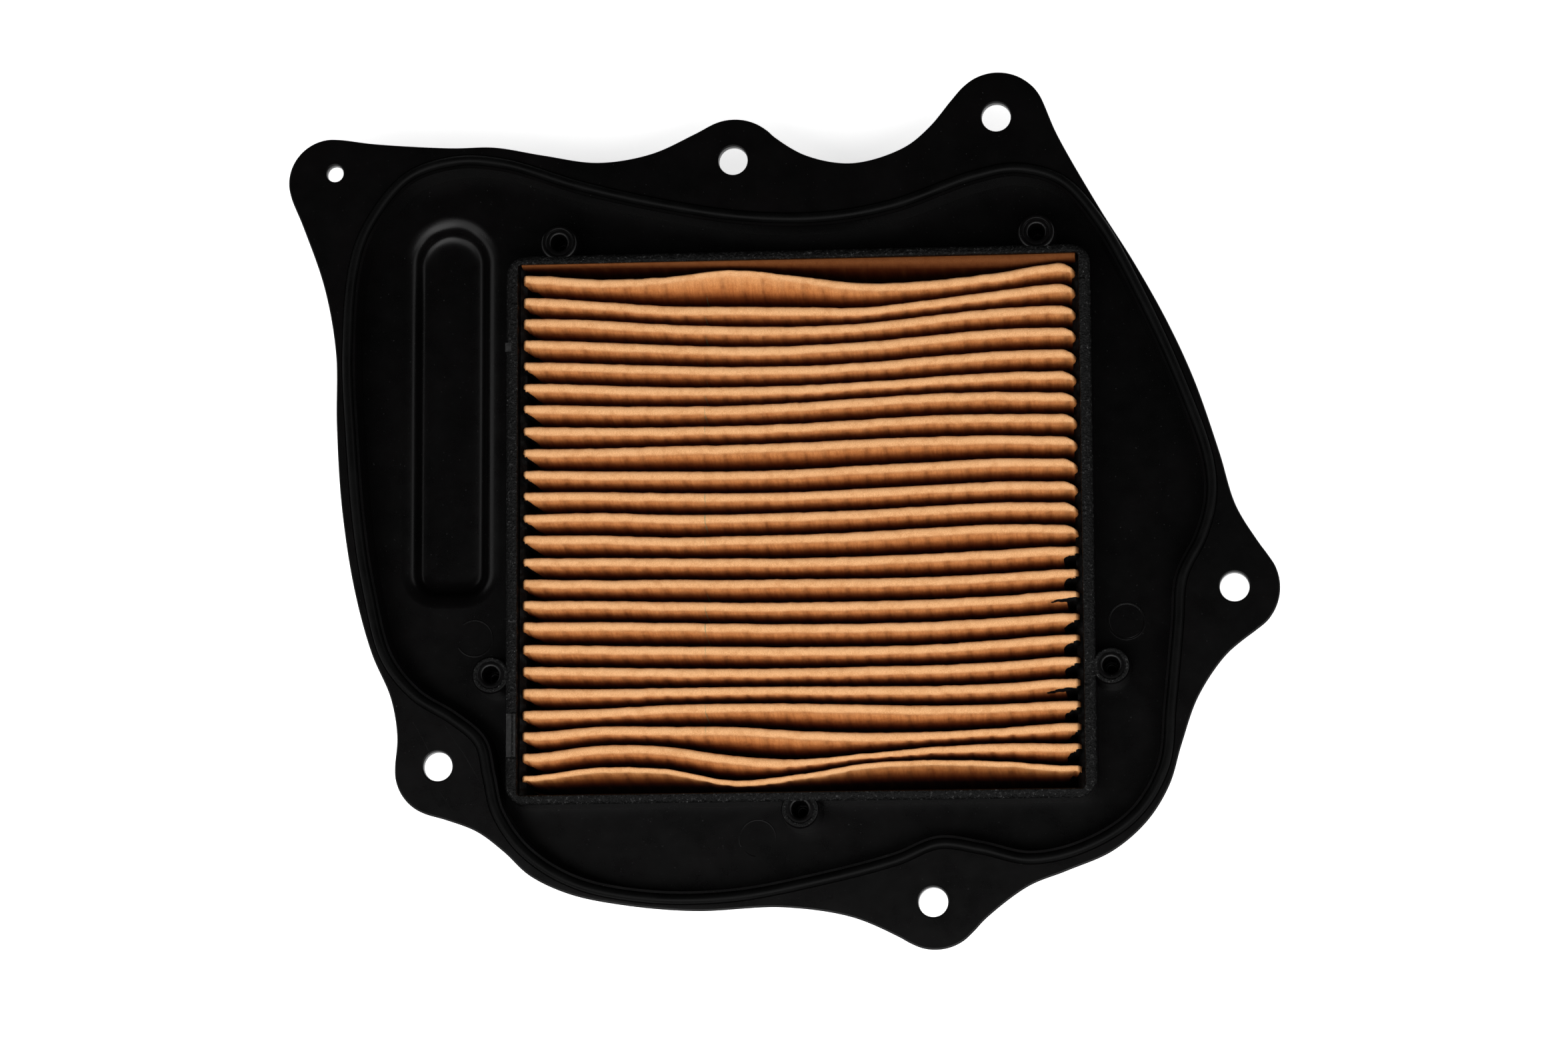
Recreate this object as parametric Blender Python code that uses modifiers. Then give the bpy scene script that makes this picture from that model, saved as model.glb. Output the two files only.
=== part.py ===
"""Air filter of a small motorcycle or scooter, built as its separate physical pieces.

A moulded carrier plate with six screw ears holds a pleated paper element in a rectangular
collar. A cord seal lies in a groove round the plate's tray. Behind the plate a screwed-on
retainer, with its gasket and support screen, keeps the element in place.

Frame: +X and +Y lie in the plate, +Z points out of the dirty-air side, and the origin is
under the middle of the plate's outline, at the level of the retainer's rear rim. Plan
positions are measured from the centre of the element window, in millimetres.
"""
import math

import bmesh
import bpy
from mathutils import Matrix, Vector

MM = 0.001
GAP = 0.3  # clearance between pieces that touch
THROUGH = (-5.0, 40.0)  # heights that a cutter spans to go right through
OVERLAP = 1.0  # how far a joined shape reaches into its neighbour

# Heights above the retainer's rear rim
FLANGE_TOP = 22.2
FLANGE_THICK = 2.6
TRAY_DEPTH = 9.0
FLOOR_TOP = FLANGE_TOP - TRAY_DEPTH
FLOOR_THICK = 2.2
FLOOR_UNDER = FLOOR_TOP - FLOOR_THICK
COLLAR_TOP = 23.4
BOSS_TOP = 22.9

# Element window and the collar round it, as half sizes in X and Y
WINDOW = (62.9, 59.9)
COLLAR = (65.6, 62.0)
COLLAR_CORNER = 4.5

# Screw bosses that stand against the collar
BOSSES = [(-53.7, 64.8), (53.7, 64.8), (-68.9, -32.9), (68.9, -32.9), (0.0, -63.8)]
BOSS_FOOT_RADIUS = 4.5
BOSS_TOP_RADIUS = 4.0
PILOT_RADIUS = 1.7

# Tray wall and the seal groove, as distances from the seal's centre line (positive outwards)
SEAL_DIAMETER = 2.2
GROOVE_HALF = SEAL_DIAMETER / 2 + GAP
GROOVE_DEPTH = 1.4
TRAY_INSIDE = -1.9
TRAY_OUTSIDE = 0.5

# Stadium-shaped recess in the tray's floor
POCKET_X = -79.5
POCKET_TOP_Y = 68.0
POCKET_FOOT_Y = -11.0
POCKET_HALF_WIDTH = 5.6
POCKET_DEPTH = 3.5
POCKET_FLARE = 2.6
POCKET_WALL = 2.0

# Rear retainer
RETAINER_WALL = 2.4
RETAINER_RIM = 0.0
RETAINER_FLANGE_TOP = FLOOR_UNDER - 1.4
RETAINER_FLANGE_THICK = 2.2
RETAINER_FLANGE = (69.0, 65.7)
LUG_RADIUS = 5.4
GASKET_INSET = 0.4
LIP_WIDTH = 2.5
LIP_THICK = 1.6
BAR_WIDTH = 3.0
BARS_X = (-31.5, 0.0, 31.5)

# Support screen
SCREEN_THICK = 0.8
SCREEN_BORDER = 3.0
SCREEN_WEB = 1.6
SCREEN_CELLS = (8, 7)

# Pleated element
PLEATS = 24
PLEAT_PITCH = 4.9
PLEAT_TOP = 22.2
PAPER_THICK = 0.6
CREST_RADIUS = 1.25
FOLD_STEPS = 3
ELEMENT_UNDER = 3.0  # the pleats and the adhesive start just above the support screen
BOND_THICK = 1.4
BOND_TOP = PLEAT_TOP - 2.0
SIDE_BOND_THICK = 0.4
SIDE_BOND_TOP = PLEAT_TOP - 4.0

# Self-tapping screws from the rear
SCREW_SHANK_RADIUS = 1.4
SCREW_HEAD_RADIUS = 2.7
SCREW_HEAD_HEIGHT = 2.0
SCREW_LENGTH = 9.0
SCREW_POINT = 2.0
SCREW_STEPS = 16

EAR_HOLE = 6.5
LOCATING_HOLE = 3.8
CURVE_STEP = 3.0
ARC_STEP = math.radians(18)

# Each ear: middle of its round edge, its radius, the arc's start and end angles in degrees,
# the hole's middle and diameter. The ears follow each other anticlockwise.
EARS = {
    "top_left": ((-105.5, 80.1), 10.0, (80, 200), (-104.9, 82.1), LOCATING_HOLE),
    "bottom_left": ((-80.0, -53.9), 10.4, (175, 250), (-80.7, -53.1), EAR_HOLE),
    "bottom": ((29.6, -84.0), 11.0, (240, 320), (29.2, -84.5), EAR_HOLE),
    "right": ((95.0, -15.9), 11.3, (300, 400), (96.3, -15.8), EAR_HOLE),
    "top_right": ((45.3, 90.7), 11.0, (32, 135), (45.0, 91.4), EAR_HOLE),
    "top_middle": ((-14.1, 80.7), 11.7, (50, 110), (-14.3, 82.9), EAR_HOLE),
}

# The flange's edge from the end of each ear to the start of the next
WAISTS = {
    "top_left": [(-112.2, 70.1), (-107.1, 55.6), (-104.4, 40.6), (-104.1, 24.6), (-102.8, 5.6),
                 (-99.8, -13.1), (-95.8, -27.5), (-91.4, -37.7), (-89.9, -46.4)],
    "bottom_left": [(-78.8, -65.1), (-71.9, -67.8), (-65.8, -72.4), (-60.2, -77.6), (-51.4, -81.8),
                    (-39.4, -84.4), (-23.4, -85.9), (-3.9, -85.3), (11.2, -87.6), (21.4, -92.0)],
    "bottom": [(40.9, -88.1), (50.1, -81.3), (58.6, -78.0), (68.6, -73.8), (76.3, -67.3),
               (81.3, -59.4), (84.1, -50.5), (87.9, -40.1), (94.3, -30.8), (100.8, -25.6)],
    "right": [(101.6, -5.7), (96.9, 2.4), (93.5, 14.4), (88.2, 30.8), (82.3, 44.4),
              (75.3, 57.6), (67.6, 70.5), (58.6, 87.1)],
    "top_right": [(34.8, 95.4), (29.9, 89.5), (24.0, 84.9), (12.6, 81.7), (2.2, 83.7), (-4.9, 88.1)],
    "top_middle": [(-22.9, 89.3), (-32.9, 84.9), (-44.9, 83.2), (-57.4, 85.2), (-68.5, 87.3),
                   (-78.4, 87.4), (-96.0, 88.8)],
}

# Centre line of the cord seal, anticlockwise from the left
SEAL_PATH = [
    (-99.0, 0.6), (-96.7, -13.4), (-92.6, -28.7), (-85.9, -37.2), (-77.4, -42.6), (-71.4, -47.9),
    (-69.5, -55.4), (-67.5, -63.6), (-61.3, -72.4), (-50.2, -79.4), (-33.4, -82.9), (-14.8, -82.8),
    (4.8, -79.3), (21.2, -75.2), (30.6, -71.7), (39.6, -72.9), (50.6, -75.3), (62.6, -72.8),
    (73.6, -66.0), (80.2, -55.4), (82.0, -41.4), (83.8, -24.4), (84.9, -13.4), (89.4, -4.3),
    (91.6, 4.1), (91.1, 12.9), (85.1, 30.9), (76.9, 49.9), (68.0, 66.8), (59.5, 76.6),
    (49.6, 79.6), (40.2, 78.2), (21.5, 71.9), (6.0, 69.5), (-11.2, 70.0), (-30.1, 73.2),
    (-49.0, 77.9), (-66.4, 83.5), (-77.5, 84.3), (-88.3, 80.8), (-97.0, 70.2), (-100.4, 60.6),
    (-101.8, 40.6), (-100.8, 20.6),
]

# name: (base colour, roughness, metallic)
MATERIALS = {
    "moulded_black_plastic": ((0.010, 0.010, 0.011), 0.42, 0.0),
    "black_rubber": ((0.014, 0.014, 0.014), 0.62, 0.0),
    "filter_paper": ((0.62, 0.32, 0.12), 0.85, 0.0),
    "dark_adhesive": ((0.012, 0.010, 0.009), 0.35, 0.0),
    "black_foam": ((0.020, 0.020, 0.021), 0.95, 0.0),
    "zinc_plated_steel": ((0.62, 0.62, 0.60), 0.35, 1.0),
    "blackened_steel": ((0.045, 0.045, 0.048), 0.38, 1.0),
}


# ---------------------------------------------------------------- plan curves

def arc(centre, radius, start, end):
    """Points of an arc between two angles in degrees."""
    sweep = math.radians(end - start)
    steps = max(2, math.ceil(abs(sweep) / ARC_STEP))
    angles = [math.radians(start) + sweep * k / steps for k in range(steps + 1)]
    return [(centre[0] + radius * math.cos(a), centre[1] + radius * math.sin(a)) for a in angles]


def rounded_rectangle(half, radius=0.0, centre=(0.0, 0.0)):
    """A rectangle of the given half sizes, with round corners."""
    x, y = centre
    if radius <= 0:
        return [(x + sx * half[0], y + sy * half[1]) for sx, sy in ((1, 1), (-1, 1), (-1, -1), (1, -1))]
    loop = []
    for quarter, (sx, sy) in enumerate(((1, 1), (-1, 1), (-1, -1), (1, -1))):
        corner = (x + sx * (half[0] - radius), y + sy * (half[1] - radius))
        loop += arc(corner, radius, 90 * quarter, 90 * quarter + 90)
    return loop


def smooth_loop(points, step=CURVE_STEP):
    """A smooth closed curve through the points (centripetal Catmull-Rom), cut into short steps."""
    nodes = [Vector(p) for p in points]
    count = len(nodes)
    loop = []
    for i in range(count):
        p0, p1, p2, p3 = (nodes[(i + k) % count] for k in (-1, 0, 1, 2))
        t1 = math.sqrt((p1 - p0).length)
        t2 = t1 + math.sqrt((p2 - p1).length)
        t3 = t2 + math.sqrt((p3 - p2).length)
        pieces = max(1, round((p2 - p1).length / step))
        for k in range(pieces):
            t = t1 + (t2 - t1) * k / pieces
            a1 = p0.lerp(p1, t / t1)
            a2 = p1.lerp(p2, (t - t1) / (t2 - t1))
            a3 = p2.lerp(p3, (t - t2) / (t3 - t2))
            b1 = a1.lerp(a2, t / t2)
            b2 = a2.lerp(a3, (t - t1) / (t3 - t1))
            loop.append(tuple(b1.lerp(b2, (t - t1) / (t2 - t1))))
    return loop


def offset_loop(loop, distance):
    """An anticlockwise loop moved outwards by a distance, or inwards by a negative one."""
    moved = []
    for i, point in enumerate(loop):
        before = Vector(loop[i - 1])
        after = Vector(loop[(i + 1) % len(loop)])
        along = (after - before).normalized()
        moved.append((point[0] + along.y * distance, point[1] - along.x * distance))
    return moved


def flange_outline():
    """The plate's outer edge: ear, waist, ear, waist, all the way round."""
    points = []
    for name, (centre, radius, angles, _, _) in EARS.items():
        points += arc(centre, radius, *angles)
        points += WAISTS[name]
    return smooth_loop(points)


def pocket_loop(grow):
    """The recess seen from above: round at its top end, squarer at its foot."""
    half = POCKET_HALF_WIDTH + grow
    top = POCKET_TOP_Y - POCKET_HALF_WIDTH
    foot = POCKET_FOOT_Y - grow
    corner = 2.0 + grow
    loop = arc((POCKET_X, top), half, 0, 180)
    loop += arc((POCKET_X - half + corner, foot + corner), corner, 180, 270)
    loop += arc((POCKET_X + half - corner, foot + corner), corner, 270, 360)
    return loop


# ---------------------------------------------------------------- building helpers

def clear_scene():
    """Empty the scene that the script starts in."""
    for obj in list(bpy.data.objects):
        bpy.data.objects.remove(obj, do_unlink=True)


def new_collection(name):
    collection = bpy.data.collections.new(name)
    bpy.context.scene.collection.children.link(collection)
    return collection


def make_material(name, colour, roughness, metallic):
    material = bpy.data.materials.new(name)
    material.use_nodes = True
    shader = material.node_tree.nodes["Principled BSDF"]
    shader.inputs["Base Color"].default_value = (*colour, 1.0)
    shader.inputs["Roughness"].default_value = roughness
    shader.inputs["Metallic"].default_value = metallic
    material.diffuse_color = (*colour, 1.0)
    return material


def prism_mesh(name, loops, low, high):
    """A flat outline with any holes, filled and raised from one height to another."""
    curve = bpy.data.curves.new(name + "_outline", "CURVE")
    curve.dimensions = "2D"
    curve.fill_mode = "BOTH"
    curve.extrude = (high - low) / 2 * MM
    for loop in loops:
        spline = curve.splines.new("POLY")
        spline.points.add(len(loop) - 1)
        for point, (x, y) in zip(spline.points, loop):
            point.co = (x * MM, y * MM, 0.0, 1.0)
        spline.use_cyclic_u = True
    guide = bpy.data.objects.new(name + "_outline", curve)
    bpy.context.scene.collection.objects.link(guide)
    guide.location.z = (low + high) / 2 * MM
    bpy.context.view_layer.update()
    evaluated = guide.evaluated_get(bpy.context.evaluated_depsgraph_get())
    mesh = bpy.data.meshes.new_from_object(evaluated)
    mesh.name = name
    mesh.transform(guide.matrix_world)
    bpy.data.objects.remove(guide, do_unlink=True)
    bpy.data.curves.remove(curve)
    shell = bmesh.new()
    shell.from_mesh(mesh)
    bmesh.ops.remove_doubles(shell, verts=shell.verts, dist=0.00001)
    bmesh.ops.recalc_face_normals(shell, faces=shell.faces)
    shell.to_mesh(mesh)
    shell.free()
    return mesh


def loft_mesh(name, sections):
    """A closed solid between loops of equal length: sections are (loop, height) pairs."""
    shell = bmesh.new()
    rings = [[shell.verts.new((x * MM, y * MM, z * MM)) for x, y in loop] for loop, z in sections]
    shell.faces.new(list(reversed(rings[0])))
    shell.faces.new(rings[-1])
    for lower, upper in zip(rings, rings[1:]):
        for i in range(len(lower)):
            k = (i + 1) % len(lower)
            shell.faces.new((lower[i], lower[k], upper[k], upper[i]))
    mesh = bpy.data.meshes.new(name)
    bmesh.ops.recalc_face_normals(shell, faces=shell.faces)
    shell.to_mesh(mesh)
    shell.free()
    return mesh


def cone_mesh(name, centre, foot_radius, top_radius, low, high, sides=20):
    """An upright cone or cylinder."""
    shell = bmesh.new()
    middle = Matrix.Translation((centre[0] * MM, centre[1] * MM, (low + high) / 2 * MM))
    bmesh.ops.create_cone(shell, cap_ends=True, segments=sides, radius1=foot_radius * MM,
                          radius2=top_radius * MM, depth=(high - low) * MM, matrix=middle)
    mesh = bpy.data.meshes.new(name)
    shell.to_mesh(mesh)
    shell.free()
    return mesh


def box_mesh(name, low, high):
    """A plain block between two corners."""
    shell = bmesh.new()
    size = [(b - a) * MM for a, b in zip(low, high)]
    middle = [(a + b) / 2 * MM for a, b in zip(low, high)]
    matrix = Matrix.Translation(middle) @ Matrix.Diagonal((*size, 1.0))
    bmesh.ops.create_cube(shell, size=1.0, matrix=matrix)
    mesh = bpy.data.meshes.new(name)
    shell.to_mesh(mesh)
    shell.free()
    return mesh


class Builder:
    """Puts pieces and cutters in their collections, under one root empty."""

    def __init__(self, plan_shift):
        self.pieces = new_collection("air_filter")
        self.cutters = new_collection("air_filter_cutters")
        self.materials = {name: make_material(name, *look) for name, look in MATERIALS.items()}
        self.root = bpy.data.objects.new("air_filter_root", None)
        self.root.empty_display_size = 0.02
        self.root.location = (plan_shift[0] * MM, plan_shift[1] * MM, 0.0)
        self.pieces.objects.link(self.root)

    def piece(self, name, mesh, material):
        mesh.materials.clear()
        mesh.materials.append(self.materials[material])
        obj = bpy.data.objects.new(name, mesh)
        obj.parent = self.root
        self.pieces.objects.link(obj)
        return obj

    def combine(self, target, mesh, operation):
        """Add a Boolean modifier whose second shape is kept among the cutters."""
        tool = bpy.data.objects.new(mesh.name, mesh)
        tool.parent = self.root
        tool.hide_render = True
        tool.display_type = "WIRE"
        self.cutters.objects.link(tool)
        modifier = target.modifiers.new(mesh.name, "BOOLEAN")
        modifier.operation = operation
        modifier.solver = "EXACT"
        modifier.object = tool

    def add(self, target, mesh):
        self.combine(target, mesh, "UNION")

    def cut(self, target, mesh):
        self.combine(target, mesh, "DIFFERENCE")


# ---------------------------------------------------------------- the pieces

def build_carrier_plate(builder):
    """Flange with six ears, recessed tray, collar, five bosses and the stadium recess."""
    seal_line = smooth_loop(SEAL_PATH)
    flange = prism_mesh("carrier_plate", [flange_outline()], FLANGE_TOP - FLANGE_THICK, FLANGE_TOP)
    plate = builder.piece("carrier_plate", flange, "moulded_black_plastic")
    builder.add(plate, prism_mesh("tray_body", [offset_loop(seal_line, TRAY_OUTSIDE)],
                                  FLOOR_UNDER, FLANGE_TOP - FLANGE_THICK / 2))
    builder.cut(plate, prism_mesh("tray_hollow", [offset_loop(seal_line, TRAY_INSIDE)],
                                  FLOOR_TOP, THROUGH[1]))
    builder.add(plate, prism_mesh("collar", [rounded_rectangle(COLLAR, COLLAR_CORNER)],
                                  FLOOR_UNDER + OVERLAP, COLLAR_TOP))
    for number, centre in enumerate(BOSSES, 1):
        builder.add(plate, cone_mesh(f"boss_{number}", centre, BOSS_FOOT_RADIUS, BOSS_TOP_RADIUS,
                                     FLOOR_UNDER + OVERLAP, BOSS_TOP))
    cup_under = FLOOR_TOP - POCKET_DEPTH - FLOOR_THICK
    builder.add(plate, loft_mesh("pocket_cup", [
        (pocket_loop(POCKET_WALL), cup_under),
        (pocket_loop(POCKET_WALL + POCKET_FLARE), FLOOR_TOP - FLOOR_THICK / 2)]))
    builder.cut(plate, loft_mesh("pocket_hollow", [
        (pocket_loop(0.0), FLOOR_TOP - POCKET_DEPTH),
        (pocket_loop(POCKET_FLARE), FLOOR_TOP),
        (pocket_loop(POCKET_FLARE), FLOOR_TOP + OVERLAP)]))
    builder.cut(plate, prism_mesh("element_window", [rounded_rectangle(WINDOW)], *THROUGH))
    for number, centre in enumerate(BOSSES, 1):
        builder.cut(plate, cone_mesh(f"pilot_hole_{number}", centre, PILOT_RADIUS, PILOT_RADIUS, *THROUGH))
    for name, (_, _, _, hole, diameter) in EARS.items():
        builder.cut(plate, cone_mesh(f"ear_hole_{name}", hole, diameter / 2, diameter / 2, *THROUGH, 24))
    groove = [offset_loop(seal_line, GROOVE_HALF), offset_loop(seal_line, -GROOVE_HALF)]
    builder.cut(plate, prism_mesh("seal_groove", groove, FLANGE_TOP - GROOVE_DEPTH, THROUGH[1]))
    return plate


def build_perimeter_seal(builder):
    """A round cord lying in the groove, standing about half proud of the flange."""
    curve = bpy.data.curves.new("perimeter_seal", "CURVE")
    curve.dimensions = "3D"
    curve.bevel_depth = SEAL_DIAMETER / 2 * MM
    curve.bevel_resolution = 2
    height = FLANGE_TOP - GROOVE_DEPTH + GAP + SEAL_DIAMETER / 2
    loop = smooth_loop(SEAL_PATH, CURVE_STEP * 1.5)
    spline = curve.splines.new("POLY")
    spline.points.add(len(loop) - 1)
    for point, (x, y) in zip(spline.points, loop):
        point.co = (x * MM, y * MM, height * MM, 1.0)
    spline.use_cyclic_u = True
    curve.materials.append(builder.materials["black_rubber"])
    seal = bpy.data.objects.new("perimeter_seal", curve)
    seal.parent = builder.root
    builder.pieces.objects.link(seal)
    return seal


def half_turn(centre_y, centre_z, radius, upwards):
    """A fold seen along X: half a circle, going towards +Y over the top or under the bottom."""
    lift = 1 if upwards else -1
    turns = [math.pi * step / FOLD_STEPS for step in range(FOLD_STEPS + 1)]
    return [(centre_y - radius * math.cos(t), centre_z + lift * radius * math.sin(t)) for t in turns]


def pleat_section():
    """The folded sheet seen along X, as a closed outline of (y, z) points."""
    flap = WINDOW[1] - 2 * GAP - SIDE_BOND_THICK - PAPER_THICK / 2
    outer_crest = (PLEATS - 1) / 2 * PLEAT_PITCH
    crest_z = PLEAT_TOP - PAPER_THICK / 2 - CREST_RADIUS
    edges = [-flap]
    for pleat in range(PLEATS):
        middle = -outer_crest + pleat * PLEAT_PITCH
        edges += [middle - CREST_RADIUS, middle + CREST_RADIUS]
    edges.append(flap)
    line = [(-flap, crest_z)]
    for i, (left, right) in enumerate(zip(edges, edges[1:])):
        radius = (right - left) / 2
        is_crest = i % 2 == 1
        height = crest_z if is_crest else ELEMENT_UNDER + PAPER_THICK / 2 + radius
        line += half_turn((left + right) / 2, height, radius, is_crest)
    line.append((flap, crest_z))
    upper, lower = [], []
    for i, point in enumerate(line):
        before = Vector(line[max(i - 1, 0)])
        after = Vector(line[min(i + 1, len(line) - 1)])
        along = (after - before).normalized() * PAPER_THICK / 2
        upper.append((point[0] - along.y, point[1] + along.x))
        lower.append((point[0] + along.y, point[1] - along.x))
    return lower + upper[::-1]


def build_pleated_paper(builder):
    """One folded sheet whose creases run along X."""
    section = pleat_section()
    end = WINDOW[0] - 2 * GAP - BOND_THICK
    shell = bmesh.new()
    faces = []
    for x in (-end, end):
        faces.append([shell.verts.new((x * MM, y * MM, z * MM)) for y, z in section])
    shell.faces.new(faces[0][::-1])
    shell.faces.new(faces[1])
    for i in range(len(section)):
        k = (i + 1) % len(section)
        shell.faces.new((faces[0][i], faces[0][k], faces[1][k], faces[1][i]))
    bmesh.ops.recalc_face_normals(shell, faces=shell.faces)
    mesh = bpy.data.meshes.new("pleated_paper")
    shell.to_mesh(mesh)
    shell.free()
    return builder.piece("pleated_paper", mesh, "filter_paper")


def build_bonds(builder):
    """Adhesive that seals the pleat ends and the two outer folds to the collar."""
    inner_x = WINDOW[0] - GAP - BOND_THICK
    half_y = WINDOW[1] - GAP
    for name, sign in (("left", -1), ("right", 1)):
        low, high = sorted((sign * inner_x, sign * (inner_x + BOND_THICK)))
        mesh = box_mesh(f"end_bond_{name}", (low, -half_y, ELEMENT_UNDER), (high, half_y, BOND_TOP))
        builder.piece(f"end_bond_{name}", mesh, "dark_adhesive")
    inner_y = half_y - SIDE_BOND_THICK
    half_x = inner_x - GAP
    for name, sign in (("lower", -1), ("upper", 1)):
        low, high = sorted((sign * inner_y, sign * half_y))
        mesh = box_mesh(f"side_bond_{name}", (-half_x, low, ELEMENT_UNDER), (half_x, high, SIDE_BOND_TOP))
        builder.piece(f"side_bond_{name}", mesh, "dark_adhesive")


def flange_with_lugs(name, half, lug_radius, inner, hole_radius, low, high, builder, material):
    """A rectangular ring with a round lug and a screw hole at each boss."""
    ring = prism_mesh(name, [rounded_rectangle(half, COLLAR_CORNER)], low, high)
    piece = builder.piece(name, ring, material)
    for number, centre in enumerate(BOSSES, 1):
        builder.add(piece, cone_mesh(f"{name}_lug_{number}", centre, lug_radius, lug_radius, low, high))
    builder.cut(piece, prism_mesh(f"{name}_opening", [rounded_rectangle(inner)], *THROUGH))
    for number, centre in enumerate(BOSSES, 1):
        builder.cut(piece, cone_mesh(f"{name}_hole_{number}", centre, hole_radius, hole_radius, *THROUGH))
    return piece


def build_rear_retainer(builder):
    """Box-shaped frame behind the plate: flange with lugs, four walls, lip and cross bars.

    The walls are scalloped beside each screw, so that its head and a driver can reach it.
    """
    top = RETAINER_FLANGE_TOP
    retainer = flange_with_lugs("rear_retainer", RETAINER_FLANGE, LUG_RADIUS, WINDOW,
                                SCREW_SHANK_RADIUS + GAP, top - RETAINER_FLANGE_THICK, top,
                                builder, "moulded_black_plastic")
    wall = (WINDOW[0] + RETAINER_WALL, WINDOW[1] + RETAINER_WALL)
    box = [rounded_rectangle(wall, COLLAR_CORNER / 2), rounded_rectangle(WINDOW)]
    builder.add(retainer, prism_mesh("retainer_walls", box, RETAINER_RIM, top))
    lip = (WINDOW[0] - LIP_WIDTH, WINDOW[1] - LIP_WIDTH)
    between = (WINDOW[0] + RETAINER_WALL / 2, WINDOW[1] + RETAINER_WALL / 2)
    edges = [-lip[0]] + [x + side * BAR_WIDTH / 2 for x in BARS_X for side in (-1, 1)] + [lip[0]]
    openings = []
    for left, right in zip(edges[::2], edges[1::2]):
        openings.append([(left, -lip[1]), (right, -lip[1]), (right, lip[1]), (left, lip[1])])
    builder.add(retainer, prism_mesh("retainer_lip", [rounded_rectangle(between)] + openings,
                                     RETAINER_RIM, RETAINER_RIM + LIP_THICK))
    relief = SCREW_HEAD_RADIUS + GAP
    for number, centre in enumerate(BOSSES, 1):
        builder.cut(retainer, cone_mesh(f"head_relief_{number}", centre, relief, relief,
                                        THROUGH[0], top - RETAINER_FLANGE_THICK))
    return retainer


def build_retainer_gasket(builder):
    """Foam gasket between the retainer's flange and the plate."""
    half = (RETAINER_FLANGE[0] - GASKET_INSET, RETAINER_FLANGE[1] - GASKET_INSET)
    inner = (WINDOW[0] + GAP, WINDOW[1] + GAP)
    return flange_with_lugs("retainer_gasket", half, LUG_RADIUS - GASKET_INSET, inner,
                            SCREW_SHANK_RADIUS + 2 * GAP, RETAINER_FLANGE_TOP + GAP,
                            FLOOR_UNDER - GAP, builder, "black_foam")


def build_support_screen(builder):
    """Thin punched sheet that lies on the retainer's lip, under the pleats."""
    half = (WINDOW[0] - GAP, WINDOW[1] - GAP)
    loops = [rounded_rectangle(half)]
    cell = [(2 * (half[a] - SCREEN_BORDER) + SCREEN_WEB) / SCREEN_CELLS[a] for a in (0, 1)]
    hole = [(cell[a] - SCREEN_WEB) / 2 for a in (0, 1)]
    for i in range(SCREEN_CELLS[0]):
        for j in range(SCREEN_CELLS[1]):
            centre = [-half[a] + SCREEN_BORDER + hole[a] + (i, j)[a] * cell[a] for a in (0, 1)]
            loops.append(rounded_rectangle(hole, centre=centre))
    low = RETAINER_RIM + LIP_THICK + GAP
    mesh = prism_mesh("support_screen", loops, low, low + SCREEN_THICK)
    return builder.piece("support_screen", mesh, "zinc_plated_steel")


def build_screws(builder):
    """Five pan-head self-tapping screws, put in from the rear."""
    seat = RETAINER_FLANGE_TOP - RETAINER_FLANGE_THICK - GAP
    profile = [(0.0, seat + SCREW_LENGTH), (0.5, seat + SCREW_LENGTH),
               (SCREW_SHANK_RADIUS, seat + SCREW_LENGTH - SCREW_POINT), (SCREW_SHANK_RADIUS, seat),
               (SCREW_HEAD_RADIUS, seat), (SCREW_HEAD_RADIUS, seat - SCREW_HEAD_HEIGHT * 0.5),
               (SCREW_HEAD_RADIUS * 0.78, seat - SCREW_HEAD_HEIGHT * 0.9),
               (SCREW_HEAD_RADIUS * 0.4, seat - SCREW_HEAD_HEIGHT), (0.0, seat - SCREW_HEAD_HEIGHT)]
    for number, (x, y) in enumerate(BOSSES, 1):
        mesh = bpy.data.meshes.new(f"retainer_screw_{number}")
        points = [(r * MM, 0.0, z * MM) for r, z in profile]
        mesh.from_pydata(points, [(i, i + 1) for i in range(len(points) - 1)], [])
        screw = builder.piece(f"retainer_screw_{number}", mesh, "blackened_steel")
        screw.location = (x * MM, y * MM, 0.0)
        turn = screw.modifiers.new("turned", "SCREW")
        turn.axis = "Z"
        turn.steps = SCREW_STEPS
        turn.render_steps = SCREW_STEPS
        turn.use_merge_vertices = True
        turn.merge_threshold = 0.00001
        turn.use_smooth_shade = True


def main():
    clear_scene()
    outline = flange_outline()
    middle = [(min(axis) + max(axis)) / 2 for axis in zip(*outline)]
    builder = Builder((-middle[0], -middle[1]))
    build_carrier_plate(builder)
    build_perimeter_seal(builder)
    build_pleated_paper(builder)
    build_bonds(builder)
    build_support_screen(builder)
    build_rear_retainer(builder)
    build_retainer_gasket(builder)
    build_screws(builder)


main()
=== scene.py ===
"""Looks of the air filter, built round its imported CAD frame.

As in the CAD, plan positions are millimetres from the window's centre and heights are
millimetres above the rear retainer's rim.
"""
import math
import random

import bmesh
import bpy
import numpy as np
from mathutils import Matrix, Vector, noise
from mathutils.geometry import delaunay_2d_cdt


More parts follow.
